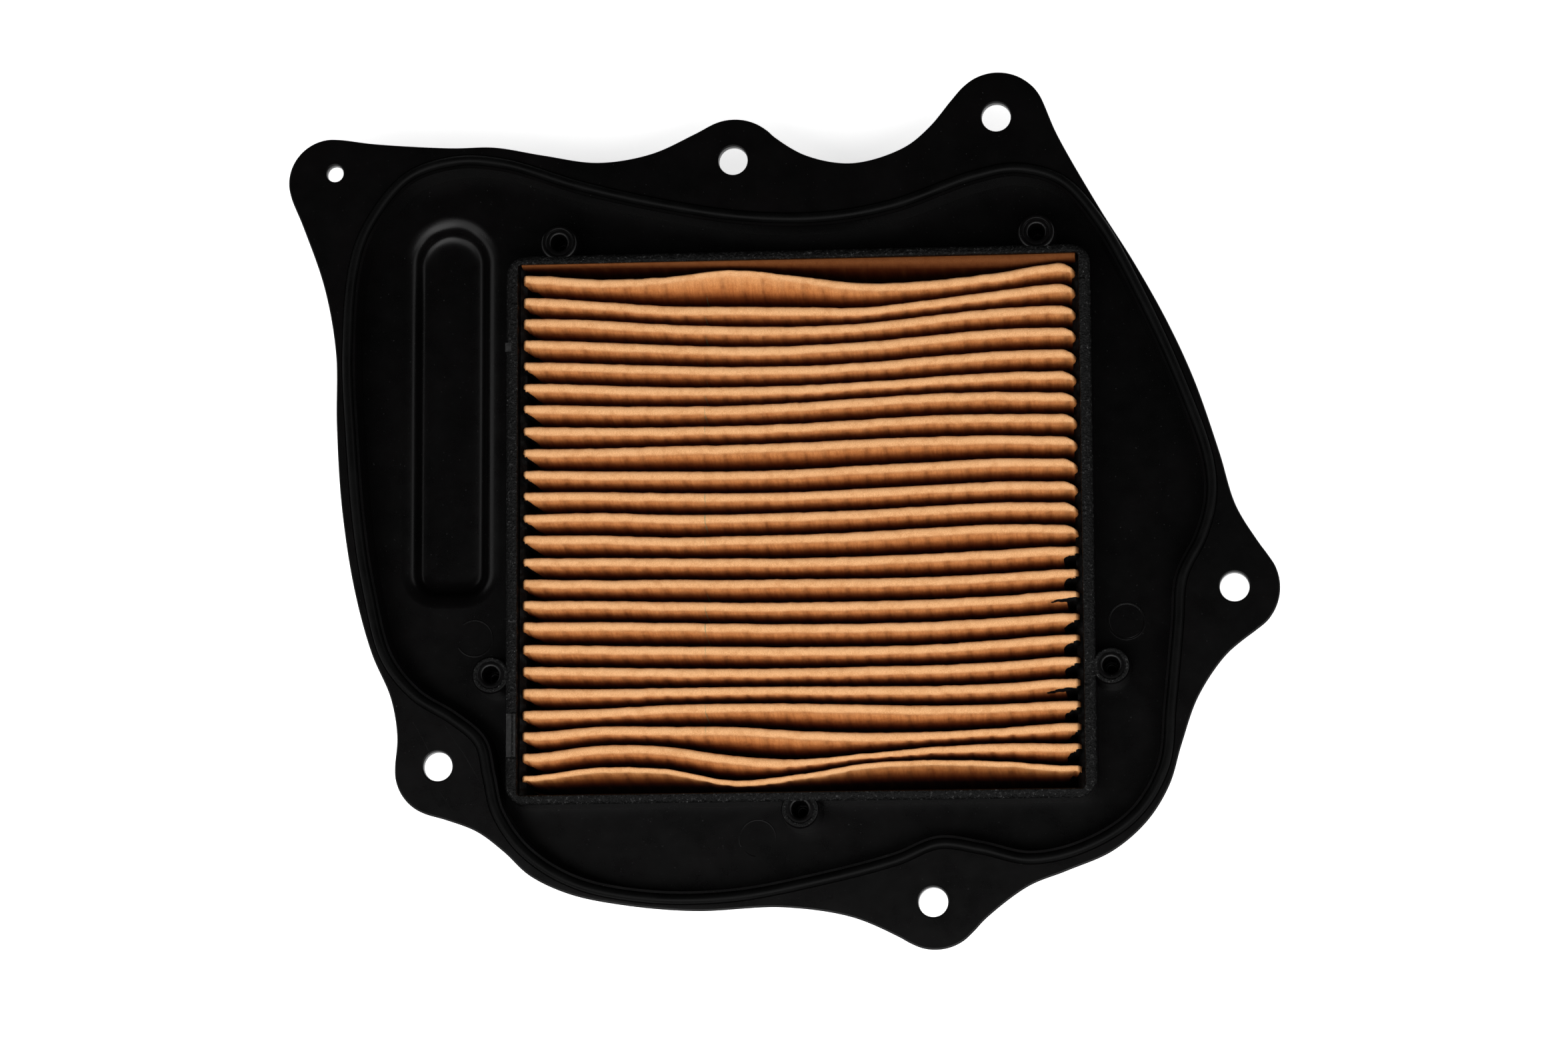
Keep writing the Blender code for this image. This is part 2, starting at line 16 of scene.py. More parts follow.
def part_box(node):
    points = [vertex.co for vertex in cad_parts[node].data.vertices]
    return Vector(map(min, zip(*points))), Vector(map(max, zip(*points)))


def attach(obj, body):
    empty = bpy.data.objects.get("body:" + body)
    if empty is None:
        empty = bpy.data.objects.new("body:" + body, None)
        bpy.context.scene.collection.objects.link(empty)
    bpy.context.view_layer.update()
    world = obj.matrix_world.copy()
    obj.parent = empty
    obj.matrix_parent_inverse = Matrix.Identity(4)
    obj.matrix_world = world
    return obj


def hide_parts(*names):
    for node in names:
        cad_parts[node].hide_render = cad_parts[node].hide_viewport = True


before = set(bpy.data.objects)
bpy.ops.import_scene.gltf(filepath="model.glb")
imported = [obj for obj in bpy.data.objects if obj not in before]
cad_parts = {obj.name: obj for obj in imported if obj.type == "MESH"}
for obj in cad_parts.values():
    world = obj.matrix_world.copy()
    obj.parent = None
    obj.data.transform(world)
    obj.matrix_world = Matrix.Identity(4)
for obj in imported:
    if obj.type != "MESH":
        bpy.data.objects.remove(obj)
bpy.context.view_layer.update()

MM = 0.001
WELD = 0.000002  # metres within which points become one
screen_low, screen_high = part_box("support_screen")
SHIFT = ((screen_low[0] + screen_high[0]) / 2, (screen_low[1] + screen_high[1]) / 2)

# Heights
FLANGE_TOP = 22.2
FLANGE_UNDER = 19.6
FLOOR_TOP = 13.2
FLOOR_UNDER = 11.0
POCKET_FLOOR = 9.7
CUP_UNDER = 7.5
SEAL_HEIGHT = 22.2  # the cord's centre line
GROOVE_FLOOR = 20.85

WINDOW = (62.9, 59.9)
COLLAR = (65.6, 62.0)
COLLAR_CORNER = 4.5
WINDOW_CORNER = 0.8
STRAIGHT = (58.0, 55.0)  # how far a loop round the window has evenly spaced points
LEFT_SEAMS = (51.0, -41.5, -51.5)  # mould seams across the collar's left side, as Y
RIGHT_SEAMS = (54.0, -37.0)
BOSSES = [(-53.7, 64.8), (53.7, 64.8), (-68.9, -32.9), (68.9, -32.9), (0.0, -63.8)]
LOWER_BOSS = 4  # the boss that the collar's lower side cuts flat
LOWER_BOSS_LIMIT = -60.1
SEAL_RADIUS = 1.1
CURVE_STEP = 0.9  # length of the short steps that curves are cut into
RIB_PITCH = 4.5  # between the ribs embossed in the paper
POCKET_X = -79.5
POCKET_TOP_Y = 68.0
POCKET_FOOT_Y = -11.0
POCKET_HALF_WIDTH = 5.6

# Each ear: middle of its round edge, radius, the arc's angles, the hole's middle and diameter
EARS = {
    "top_left": ((-105.5, 80.1), 10.0, (80, 200), (-104.9, 82.1), 3.8),
    "bottom_left": ((-80.0, -53.9), 10.4, (175, 250), (-80.7, -53.1), 6.5),
    "bottom": ((29.6, -84.0), 11.0, (240, 320), (29.2, -84.5), 6.5),
    "right": ((95.0, -15.9), 11.3, (300, 400), (96.3, -15.8), 6.5),
    "top_right": ((45.3, 90.7), 11.0, (32, 135), (45.0, 91.4), 6.5),
    "top_middle": ((-14.1, 80.7), 11.7, (50, 110), (-14.3, 82.9), 6.5),
}

# The flange's edge from the end of each ear to the start of the next
WAISTS = {
    "top_left": [(-112.2, 70.1), (-107.1, 55.6), (-104.4, 40.6), (-104.1, 24.6), (-102.8, 5.6),
                 (-99.8, -13.1), (-95.8, -27.5), (-91.4, -37.7), (-89.9, -46.4)],
    "bottom_left": [(-78.8, -65.1), (-71.9, -67.8), (-65.8, -72.4), (-60.2, -77.6), (-51.4, -81.8),
                    (-39.4, -84.4), (-23.4, -85.9), (-3.9, -85.3), (11.2, -87.6), (21.4, -92.0)],
    "bottom": [(40.9, -88.1), (50.1, -81.3), (58.6, -78.0), (68.6, -73.8), (76.3, -67.3),
               (81.3, -59.4), (84.1, -50.5), (87.9, -40.1), (94.3, -30.8), (100.8, -25.6)],
    "right": [(101.6, -5.7), (96.9, 2.4), (93.5, 14.4), (88.2, 30.8), (82.3, 44.4),
              (75.3, 57.6), (67.6, 70.5), (58.6, 87.1)],
    "top_right": [(34.8, 95.4), (29.9, 89.5), (24.0, 84.9), (12.6, 81.7), (2.2, 83.7),
                  (-4.9, 88.1)],
    "top_middle": [(-22.9, 89.3), (-32.9, 84.9), (-44.9, 83.2), (-57.4, 85.2), (-68.5, 87.3),
                   (-78.4, 87.4), (-96.0, 88.8)],
}

# Centre line of the cord seal, anticlockwise from the left
SEAL_PATH = [
    (-99.0, 0.6), (-96.7, -13.4), (-92.6, -28.7), (-85.9, -37.2), (-77.4, -42.6), (-71.4, -47.9),
    (-69.5, -55.4), (-67.5, -63.6), (-61.3, -72.4), (-50.2, -79.4), (-33.4, -82.9), (-14.8, -82.8),
    (4.8, -79.3), (21.2, -75.2), (30.6, -71.7), (39.6, -72.9), (50.6, -75.3), (62.6, -72.8),
    (73.6, -66.0), (80.2, -55.4), (82.0, -41.4), (83.8, -24.4), (84.9, -13.4), (89.4, -4.3),
    (91.6, 4.1), (91.1, 12.9), (85.1, 30.9), (76.9, 49.9), (68.0, 66.8), (59.5, 76.6),
    (49.6, 79.6), (40.2, 78.2), (21.5, 71.9), (6.0, 69.5), (-11.2, 70.0), (-30.1, 73.2),
    (-49.0, 77.9), (-66.4, 83.5), (-77.5, 84.3), (-88.3, 80.8), (-97.0, 70.2), (-100.4, 60.6),
    (-101.8, 40.6), (-100.8, 20.6),
]


# ---- plan curves

def arc(centre, radius, start, end, step):
    """Points of an arc between two angles in degrees, no further apart than a step."""
    steps = max(2, math.ceil(abs(end - start) / step))
    angles = [math.radians(start + (end - start) * k / steps) for k in range(steps + 1)]
    return [(centre[0] + radius * math.cos(a), centre[1] + radius * math.sin(a)) for a in angles]


def smooth_loop(points, step):
    """A smooth closed curve through the points (centripetal Catmull-Rom), cut into short steps."""
    nodes = [Vector(p) for p in points]
    count = len(nodes)
    loop = []
    for i in range(count):
        p0, p1, p2, p3 = (nodes[(i + k) % count] for k in (-1, 0, 1, 2))
        t1 = math.sqrt((p1 - p0).length)
        t2 = t1 + math.sqrt((p2 - p1).length)
        t3 = t2 + math.sqrt((p3 - p2).length)
        pieces = max(1, round((p2 - p1).length / step))
        for k in range(pieces):
            t = t1 + (t2 - t1) * k / pieces
            a1 = p0.lerp(p1, t / t1)
            a2 = p1.lerp(p2, (t - t1) / (t2 - t1))
            a3 = p2.lerp(p3, (t - t2) / (t3 - t2))
            b1 = a1.lerp(a2, t / t2)
            b2 = a2.lerp(a3, (t - t1) / (t3 - t1))
            loop.append(tuple(b1.lerp(b2, (t - t1) / (t2 - t1))))
    return loop


def offset(path, distance, closed=True):
    """A path moved to its right, so that an anticlockwise loop grows by the distance."""
    moved = []
    for i, point in enumerate(path):
        before = path[i - 1 if closed else max(i - 1, 0)]
        after = path[(i + 1) % len(path) if closed else min(i + 1, len(path) - 1)]
        along = (Vector(after) - Vector(before)).normalized()
        moved.append((point[0] + along.y * distance, point[1] - along.x * distance))
    return moved


def flange_outline(step):
    """The plate's outer edge: ear, waist, ear, waist, all the way round."""
    points = []
    for name, (centre, radius, angles, _, _) in EARS.items():
        points += arc(centre, radius, *angles, 18)
        points += WAISTS[name]
    return smooth_loop(points, step)


def circle(centre, radius, sides):
    """Points round a whole circle, anticlockwise from +X."""
    turn = 2 * math.pi / sides
    return [(centre[0] + radius * math.cos(turn * k), centre[1] + radius * math.sin(turn * k))
            for k in range(sides)]


def side_stations(half, extra):
    """Positions along one straight side, about 0.7 mm apart, with the extra ones put in."""
    count = round(2 * half / 0.7)
    stations = [-half + 2 * half * k / count for k in range(count + 1)]
    stations = [s for s in stations if all(abs(s - e) > 0.12 for e in extra)]
    return sorted(stations + [e for e in extra if -half < e < half])


def frame_loop(half, radius, marks):
    """A rectangle with round corners whose number of points doesn't depend on its size.

    marks are extra stations on the right, top, left and bottom sides.
    """
    hx, hy = half
    loop = []
    for k, (side_x, side_y) in enumerate(((1, 0), (0, 1), (-1, 0), (0, -1))):
        stations = side_stations(STRAIGHT[0] if side_y else STRAIGHT[1], marks[k])
        if side_x < 0 or side_y > 0:
            stations = reversed(stations)
        loop += [(s, side_y * hy) if side_y else (side_x * hx, s) for s in stations]
        corner = (side_x - side_y, side_x + side_y)
        centre = (corner[0] * (hx - radius), corner[1] * (hy - radius))
        loop += arc(centre, radius, 90 * k, 90 * k + 90, 10)
    return loop


def pocket_loop(grow):
    """The recess seen from above: round at its top end, squarer at its foot."""
    half = POCKET_HALF_WIDTH + grow
    top = POCKET_TOP_Y - POCKET_HALF_WIDTH
    foot = POCKET_FOOT_Y - grow
    corner = min(2.6 + grow, half)
    loop = arc((POCKET_X, top), half, 0, 180, 5)
    left = [(POCKET_X - half, y) for y in np.linspace(top - 1, foot + corner + 1, 40)]
    loop += left
    loop += arc((POCKET_X - half + corner, foot + corner), corner, 180, 270, 9)
    loop += arc((POCKET_X + half - corner, foot + corner), corner, 270, 360, 9)
    loop += [(POCKET_X + half, y) for _, y in reversed(left)]
    return loop


# ---- mesh building

def inside(points, loops):
    """Which points lie in the area between loops, by counting crossings."""
    odd = np.zeros(len(points), bool)
    px, py = points[:, :1], points[:, 1:]
    for loop in loops:
        a = np.array(loop)
        b = np.roll(a, -1, axis=0)
        ax, ay, bx, by = a[:, 0], a[:, 1], b[:, 0], b[:, 1]
        spans = (ay > py) != (by > py)
        rise = np.where(by == ay, 1e-12, by - ay)
        crossing = spans & (px < (bx - ax) * (py - ay) / rise + ax)
        odd ^= (crossing.sum(1) % 2).astype(bool)
    return odd


class Shape:
    """Collects rings of points, in millimetres, and the faces between them."""

    def __init__(self):
        self.points = []
        self.faces = []
        self.slots = []

    def lane(self, points):
        """Adds a row of (x, y, z) points and returns its indices."""
        start = len(self.points)
        self.points += points
        return list(range(start, start + len(points)))

    def ring(self, loop, height):
        """Adds a loop of points at one height, or at a list of heights, and returns its indices."""
        heights = height if isinstance(height, list) else [height] * len(loop)
        return self.lane([(p[0], p[1], z) for p, z in zip(loop, heights)])

    def bridge(self, a, b, slot=0, closed=True):
        """Joins two rings of equal length with four-sided faces."""
        last = len(a) if closed else len(a) - 1
        for i in range(last):
            k = (i + 1) % len(a)
            self.faces.append((a[i], a[k], b[k], b[i]))
            self.slots.append(slot)

    def sweep(self, rings, slot=0, closed=True):
        """Joins rings, given as (loop, height) pairs, and returns their indices."""
        made = [self.ring(loop, height) for loop, height in rings]
        for a, b in zip(made, made[1:]):
            self.bridge(a, b, slot, closed)
        return made

    def fill(self, rings, upwards=True):
        """Fills the flat area between one outer ring and any holes."""
        index = [i for ring in rings for i in ring]
        plan = [Vector(self.points[i][:2]) for i in index]
        edges, start = [], 0
        for ring in rings:
            edges += [(start + i, start + (i + 1) % len(ring)) for i in range(len(ring))]
            start += len(ring)
        verts, _, faces, origins, _, _ = delaunay_2d_cdt(plan, edges, [], 0, 1e-6)
        height = self.points[index[0]][2]
        where = []
        for vert, origin in zip(verts, origins):
            if origin:
                where.append(index[origin[0]])
            else:
                where.append(len(self.points))
                self.points.append((vert.x, vert.y, height))
        flat = np.array([tuple(v) for v in verts])
        tri = np.array(faces)
        loops = [[self.points[i][:2] for i in ring] for ring in rings]
        kept = inside(flat[tri].mean(axis=1), loops)
        for a, b, c in tri[kept]:
            u, v = flat[b] - flat[a], flat[c] - flat[a]
            anticlockwise = u[0] * v[1] - u[1] * v[0] > 0
            order = (a, b, c) if anticlockwise == upwards else (a, c, b)
            self.faces.append(tuple(where[i] for i in order))
            self.slots.append(0)

    def cap(self, ring, slot=0):
        """Closes a ring with one face."""
        self.faces.append(tuple(ring))
        self.slots.append(slot)

    def lathe(self, centre, profile, sides, slot=0, reshape=None):
        """Turns a profile of (radius, height) points round an upright axis."""
        rings = []
        for radius, height in profile:
            loop = circle(centre, radius, sides)
            if reshape:
                loop = [reshape(p) for p in loop]
            rings.append((loop, height))
        return self.sweep(rings, slot)

    def build(self, name, materials, sharp=38, weighted=True):
        """Makes the object; edges steeper than sharp, in degrees, stay crisp."""
        mesh = bpy.data.meshes.new(name)
        points = [(x * MM + SHIFT[0], y * MM + SHIFT[1], z * MM) for x, y, z in self.points]
        mesh.from_pydata(points, [], self.faces)
        mesh.polygons.foreach_set("material_index", self.slots)
        for material in materials:
            mesh.materials.append(material)
        shell = bmesh.new()
        shell.from_mesh(mesh)
        bmesh.ops.remove_doubles(shell, verts=shell.verts, dist=WELD)
        bmesh.ops.dissolve_degenerate(shell, edges=shell.edges, dist=WELD / 2)
        shell.to_mesh(mesh)
        shell.free()
        mesh.polygons.foreach_set("use_smooth", [True] * len(mesh.polygons))
        mesh.set_sharp_from_angle(angle=math.radians(sharp))
        obj = bpy.data.objects.new(name, mesh)
        bpy.context.scene.collection.objects.link(obj)
        if weighted:
            normals = obj.modifiers.new("weighted_normals", "WEIGHTED_NORMAL")
            normals.keep_sharp = True
            normals.weight = 60
        return obj


def place(obj, slot, *nodes):
    """Lets a piece ride on the body and stand for its CAD nodes."""
    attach(obj, "root")
    if nodes:
        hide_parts(*nodes)


# ---- materials

class Look:
    """A Principled material with short ways to add texture nodes."""

    def __init__(self, name, colour, roughness, metallic=0.0, specular=0.5):
        self.material = bpy.data.materials.new(name)
        self.material.use_nodes = True
        self.material.diffuse_color = (*colour, 1.0)
        self.tree = self.material.node_tree
        self.shader = self.tree.nodes["Principled BSDF"]
        self.colour(colour)
        self.roughness(roughness)
        self.feed(self.shader.inputs["Metallic"], metallic)
        self.feed(self.shader.inputs["Specular IOR Level"], specular)
        self.place = self.node("TexCoord").outputs["Object"]
        self.last_bump = None

    def feed(self, socket, value):
        """Sets an input from a number, a colour, a vector or another node's output."""
        if isinstance(value, (int, float)):
            socket.default_value = value
        elif isinstance(value, tuple):
            socket.default_value = (*value, 1.0)[:len(socket.default_value)]
        elif value is not None:
            self.tree.links.new(value, socket)

    def node(self, kind, **inputs):
        """Adds a node and feeds its inputs."""
        node = self.tree.nodes.new("ShaderNode" + kind)
        for name, value in inputs.items():
            self.feed(node.inputs[name], value)
        return node

    def noise(self, scale, detail=3.0, roughness=0.5):
        """Noise of one scale, or of a scale for each axis."""
        place = self.place
        if isinstance(scale, tuple):
            place = self.node("Mapping", Vector=place, Scale=scale).outputs["Vector"]
            scale = 1
        return self.node("TexNoise", Vector=place, Scale=scale, Detail=detail,
                         Roughness=roughness).outputs["Fac"]

    def voronoi(self, scale):
        return self.node("TexVoronoi", Vector=self.place, Scale=scale).outputs["Distance"]

    def axis(self, name):
        """One object coordinate, in metres."""
        return self.node("SeparateXYZ", Vector=self.place).outputs[name]

    def ramp(self, value, *stops):
        """Turns a value into a colour or a number through (position, colour) stops."""
        node = self.node("ValToRGB", Fac=value)
        band = node.color_ramp
        while len(band.elements) < len(stops):
            band.elements.new(0.5)
        for element, (position, colour) in zip(band.elements, stops):
            element.position = position
            grey = isinstance(colour, (int, float))
            element.color = (colour, colour, colour, 1.0) if grey else (*colour, 1.0)
        return node.outputs["Color"]

    def maths(self, operation, a, b=None):
        node = self.node("Math")
        node.operation = operation
        for socket, value in zip(node.inputs, (a, b)):
            self.feed(socket, value)
        return node.outputs["Value"]

    def multiply(self, a, b):
        return self.maths("MULTIPLY", a, b)

    def mix(self, factor, a, b, kind="MIX"):
        node = self.node("Mix")
        node.data_type = "RGBA"
        node.blend_type = kind
        for name, value in (("Factor", factor), ("A", a), ("B", b)):
            self.feed([s for s in node.inputs if s.name == name and s.enabled][0], value)
        return [s for s in node.outputs if s.name == "Result" and s.enabled][0]

    def darken(self, factor, base, tint):
        """Multiplies the base by a tint where the factor is high."""
        return self.mix(factor, base, tint, "MULTIPLY")

    def colour(self, value):
        self.feed(self.shader.inputs["Base Color"], value)

    def roughness(self, value):
        self.feed(self.shader.inputs["Roughness"], value)

    def bump(self, height, distance, strength):
        """Adds a layer of relief; distance is in metres."""
        node = self.node("Bump", Distance=distance, Strength=strength, Height=height,
                         Normal=self.last_bump)
        self.last_bump = node.outputs["Normal"]
        self.feed(self.shader.inputs["Normal"], self.last_bump)


def moulded_plastic():
    """Satin black plastic with faint flow clouds, fine grain and a few dust specks."""
    look = Look("moulded_plastic", (0.0011, 0.0010, 0.0010), 0.29, specular=0.17)
    clouds = look.noise(55, 4, 0.55)
    grain = look.noise(2600, 2, 0.6)
    dust = look.noise(2300, 1, 0.5)
    base = look.ramp(clouds, (0.35, (0.0007, 0.0007, 0.0007)), (0.7, (0.0016, 0.0013, 0.0014)))
    specks = look.ramp(dust, (0.745, 0.0), (0.79, 1.0))
    look.colour(look.mix(specks, base, (0.018, 0.018, 0.018)))
    look.roughness(look.ramp(look.noise(160, 5, 0.6), (0.3, 0.255), (0.75, 0.325)))
    look.bump(look.noise(240, 3), 0.00006, 0.35)
    look.bump(grain, 0.00001, 0.5)
    return look.material


def rough_rim_plastic():
    """The collar's and bosses' sawn-looking tops: matt, pitted and speckled with white dust."""
    look = Look("rough_rim_plastic", (0.012, 0.012, 0.012), 0.55, specular=0.11)
    coarse = look.noise(1500, 4, 0.65)
    pits = look.voronoi(2400)
    base = look.ramp(coarse, (0.38, 0.0008), (0.58, 0.004), (0.70, 0.04))
    specks = look.multiply(look.ramp(look.noise(2200, 3, 0.7), (0.66, 0.0), (0.72, 1.0)),
                           look.ramp(look.noise(260, 2), (0.42, 0.0), (0.62, 1.0)))
    look.colour(look.mix(specks, base, (0.2, 0.2, 0.2)))
    look.roughness(look.ramp(coarse, (0.3, 0.42), (0.7, 0.62)))
    look.bump(coarse, 0.0005, 0.8)
    look.bump(pits, 0.00018, 0.7)
    return look.material


def worn_plastic():
    """Plastic that was rubbed or chipped: a little lighter and matt."""
    look = Look("worn_plastic", (0.012, 0.012, 0.012), 0.5, specular=0.2)
    scuffs = look.noise(900, 4, 0.6)
    look.colour(look.ramp(scuffs, (0.35, 0.007), (0.6, 0.016), (0.72, 0.05)))
    look.bump(scuffs, 0.0001, 0.5)
    return look.material


def seal_rubber():
    """Smooth black rubber cord with a faint bloom."""
    look = Look("seal_rubber", (0.003, 0.003, 0.003), 0.45, specular=0.05)
    bloom = look.noise(130, 5, 0.6)
    look.colour(look.ramp(bloom, (0.35, 0.0012), (0.75, 0.0028)))
    look.roughness(look.ramp(bloom, (0.3, 0.38), (0.7, 0.5)))
    look.bump(look.noise(1800, 2), 0.00002, 0.5)
    return look.material


HEIGHT_SCALE = 40.0  # brings the paper's heights, in metres, into a ramp's 0 to 1
PAINTED_PAPER_SHADE = (  # painted shade, as tone at a scaled height: rear side, near-black valleys, flanks, crests
    (0.12, (0.8, 0.7, 0.6)), (0.20, (0.05, 0.015, 0.006)), (0.42, (0.04, 0.010, 0.003)),
    (0.52, (0.20, 0.060, 0.016)), (0.63, (0.46, 0.220, 0.095)), (0.72, (0.66, 0.41, 0.22)),
    (0.80, (0.80, 0.60, 0.40)), (0.85, (0.90, 0.77, 0.63)), (0.872, (0.98, 0.98, 0.98)))
# painted shade on the flaps: darker lower down the wall
PAINTED_FLAP_SHADE = ((0.78, (0.34, 0.2, 0.13)), (0.87, (1.0, 1.0, 1.0)))
THREAD_X = -0.0209  # metres: the marking thread's place from the window's centre
THREAD_HALF = 0.00031


def filter_paper(name, shade=None):
    """Resin-treated filter paper: warm tan and fibrous, with ribs embossed across the pleats.

    Painted shade deepens its tone between the crests. With a shade colour it is a copy with painted
    shade for the strip beside a wall.
    """
    look = Look(name, (0.80, 0.44, 0.20), 0.75, specular=0.06 if shade else 0.25)
    fibres = look.noise((2600, 1500, 1500), 6, 0.7)
    grain = look.noise(4200, 3, 0.6)
    cloud = look.noise(45, 3, 0.5)
    base = look.ramp(grain, (0.3, (0.62, 0.30, 0.115)), (0.72, (0.83, 0.465, 0.225)))
    base = look.mix(look.ramp(fibres, (0.5, 0.0), (0.74, 0.4)), base, (0.60, 0.29, 0.11))
    base = look.mix(look.ramp(cloud, (0.45, 0.0), (0.7, 0.25)), base, (0.80, 0.46, 0.23))
    height = look.multiply(look.axis("Z"), HEIGHT_SCALE)
    # painted shade: darker down the flanks and into the valleys, by height
    depth = look.ramp(height, *PAINTED_PAPER_SHADE)
    if shade:
        # the flap copy adds painted shade that deepens lower down
        depth = look.darken(1.0, look.ramp(height, *PAINTED_FLAP_SHADE), shade)
    base = look.darken(1.0, base, depth)

    # painted shadow of the wall on the last pleat's outer side, which leans into it
    southward = look.multiply(look.axis("Y"), -10.0)
    wall_shadow_mask = look.ramp(southward, (0.597, 0.0), (0.617, 1.0))
    low_on_wall = look.ramp(height, (0.79, 1.0), (0.868, 0.0))
    base = look.darken(look.multiply(wall_shadow_mask, low_on_wall), base, (0.36, 0.22, 0.13))

    # painted shade of the embossed ribs: soft dark strokes below the crests
    wander = look.multiply(look.noise(70, 2), 0.0016)
    turns = look.multiply(look.maths("ADD", look.axis("X"), wander), 1 / (RIB_PITCH * MM))
    rib_shade_stroke = look.ramp(look.maths("FRACT", turns), (0.20, 0.0), (0.34, 0.25), (0.47, 1.0),
                       (0.53, 1.0), (0.66, 0.25), (0.80, 0.0))
    low_down = look.ramp(height, (0.70, 1.0), (0.82, 0.8), (0.85, 0.4), (0.872, 0.0))
    patchy = look.ramp(look.noise(260, 2), (0.38, 0.35), (0.62, 1.0))
    strength = look.multiply(look.multiply(rib_shade_stroke, low_down), patchy)
    base = look.mix(look.multiply(strength, 0.4), base, (0.10, 0.03, 0.008))

    # faint green marking thread down the middle of some pleats
    aside = look.maths("ABSOLUTE", look.maths("SUBTRACT", look.axis("X"), SHIFT[0] + THREAD_X))
    frayed = look.maths("ADD", aside, look.multiply(look.noise(300, 1), 0.0004))
    thread = look.maths("LESS_THAN", frayed, THREAD_HALF)
    some = look.ramp(look.noise(60, 0), (0.50, 0.0), (0.56, 0.55))
    base = look.mix(look.multiply(thread, some), base, (0.16, 0.26, 0.14))

    # streaks that run down the pleats' sides, and soft mottling
    runs = look.noise((1700, 260, 160), 3, 0.6)
    streaks = look.ramp(runs, (0.42, 0.0), (0.68, 0.55))
    base = look.darken(look.multiply(streaks, low_down), base, (0.62, 0.48, 0.38))
    mottling = look.ramp(look.noise(520, 3, 0.6), (0.46, 0.0), (0.70, 0.8))
    base = look.darken(mottling, base, (0.84, 0.76, 0.66))
    look.colour(base)
    look.roughness(look.ramp(grain, (0.3, 0.68), (0.7, 0.85)))
    look.bump(look.noise(420, 3, 0.5), 0.00010, 0.25)
    look.bump(grain, 0.00004, 0.4)
    return look.material


def dark_glue():
    """Black cured adhesive with a wet-looking skin."""
    look = Look("dark_glue", (0.003, 0.0025, 0.0025), 0.5, specular=0.08)
    lumps = look.noise(420, 4, 0.6)
    look.colour(look.ramp(lumps, (0.3, 0.002), (0.7, 0.005)))
    look.roughness(look.ramp(lumps, (0.3, 0.35), (0.7, 0.6)))
    look.bump(lumps, 0.0003, 0.6)
    return look.material


def zinc_plate():
    """Zinc-plated sheet with rolling lines and a light tarnish."""
    look = Look("zinc_plate", (0.55, 0.55, 0.53), 0.35, 1.0)
    rolled = look.noise((40, 3000, 3000), 3, 0.5)
    tarnish = look.noise(120, 5, 0.6)
    look.colour(look.ramp(tarnish, (0.35, (0.42, 0.42, 0.41)), (0.7, (0.62, 0.62, 0.60))))
    look.roughness(look.ramp(rolled, (0.3, 0.28), (0.7, 0.45)))
    look.bump(rolled, 0.00002, 0.4)
    return look.material


def black_zinc():
    """Black-passivated steel of the screws."""
    look = Look("black_zinc", (0.045, 0.045, 0.048), 0.38, 1.0)
    wear = look.noise(700, 4, 0.6)
    look.colour(look.ramp(wear, (0.35, 0.03), (0.62, 0.055), (0.75, 0.14)))
    look.roughness(look.ramp(wear, (0.3, 0.3), (0.7, 0.48)))
    look.bump(wear, 0.00003, 0.4)
    return look.material


def open_foam():
    """Black cellular foam of the gasket."""
    look = Look("open_foam", (0.018, 0.018, 0.019), 0.95)
    cells = look.voronoi(2600)
    look.colour(look.ramp(cells, (0.1, 0.008), (0.6, 0.03)))
    look.bump(cells, 0.0003, 0.8)
    return look.material


# ---- carrier plate

SMOOTH, ROUGH, WORN = 0, 1, 2  # the plate's material slots
COLLAR_SWELL = [  # the collar's outer side: how far it stands out, and the height
    (0.14, FLOOR_TOP), (0.1, 16.0), (0.0, 21.6), (-0.05, 22.2), (-0.16, 22.5), (-0.34, 22.75),
    (-0.58, 22.93), (-0.86, 23.07), (-1.12, 23.16)]
COLLAR_ROUNDING = 3  # where in COLLAR_SWELL the rough rounding starts
SEAM_WIDTH = 0.15
SEAM_DEPTH = 0.35


def collar_loop(half, corner, grow):
    """A loop round the window, with extra points beside every mould seam."""
    beside = [[y + step for y in seams for step in (-0.22, -0.08, 0.08, 0.22)]
              for seams in (RIGHT_SEAMS, LEFT_SEAMS)]
    size = (half[0] + grow, half[1] + grow)
    return frame_loop(size, max(0.3, corner + grow), (beside[0], [], beside[1], []))


def uneven(loop, amount, base):
    """Heights of the collar's sawn-looking top, with its seams and one smooth stretch."""
    heights = []
    for x, y in loop:
        z = base + amount * noise.noise(Vector((x * 0.9, y * 0.9, 3.0)))
        z += amount * 0.7 * noise.noise(Vector((x * 2.3, y * 2.3, 7.0)))
        if x < -60 and -51.4 < y < -41.6:
            z = base + 0.03
        seams = LEFT_SEAMS if x < -60 else RIGHT_SEAMS if x > 60 else ()
        z -= SEAM_DEPTH * sum(abs(y - seam) < SEAM_WIDTH for seam in seams)
        heights.append(z)
    return heights


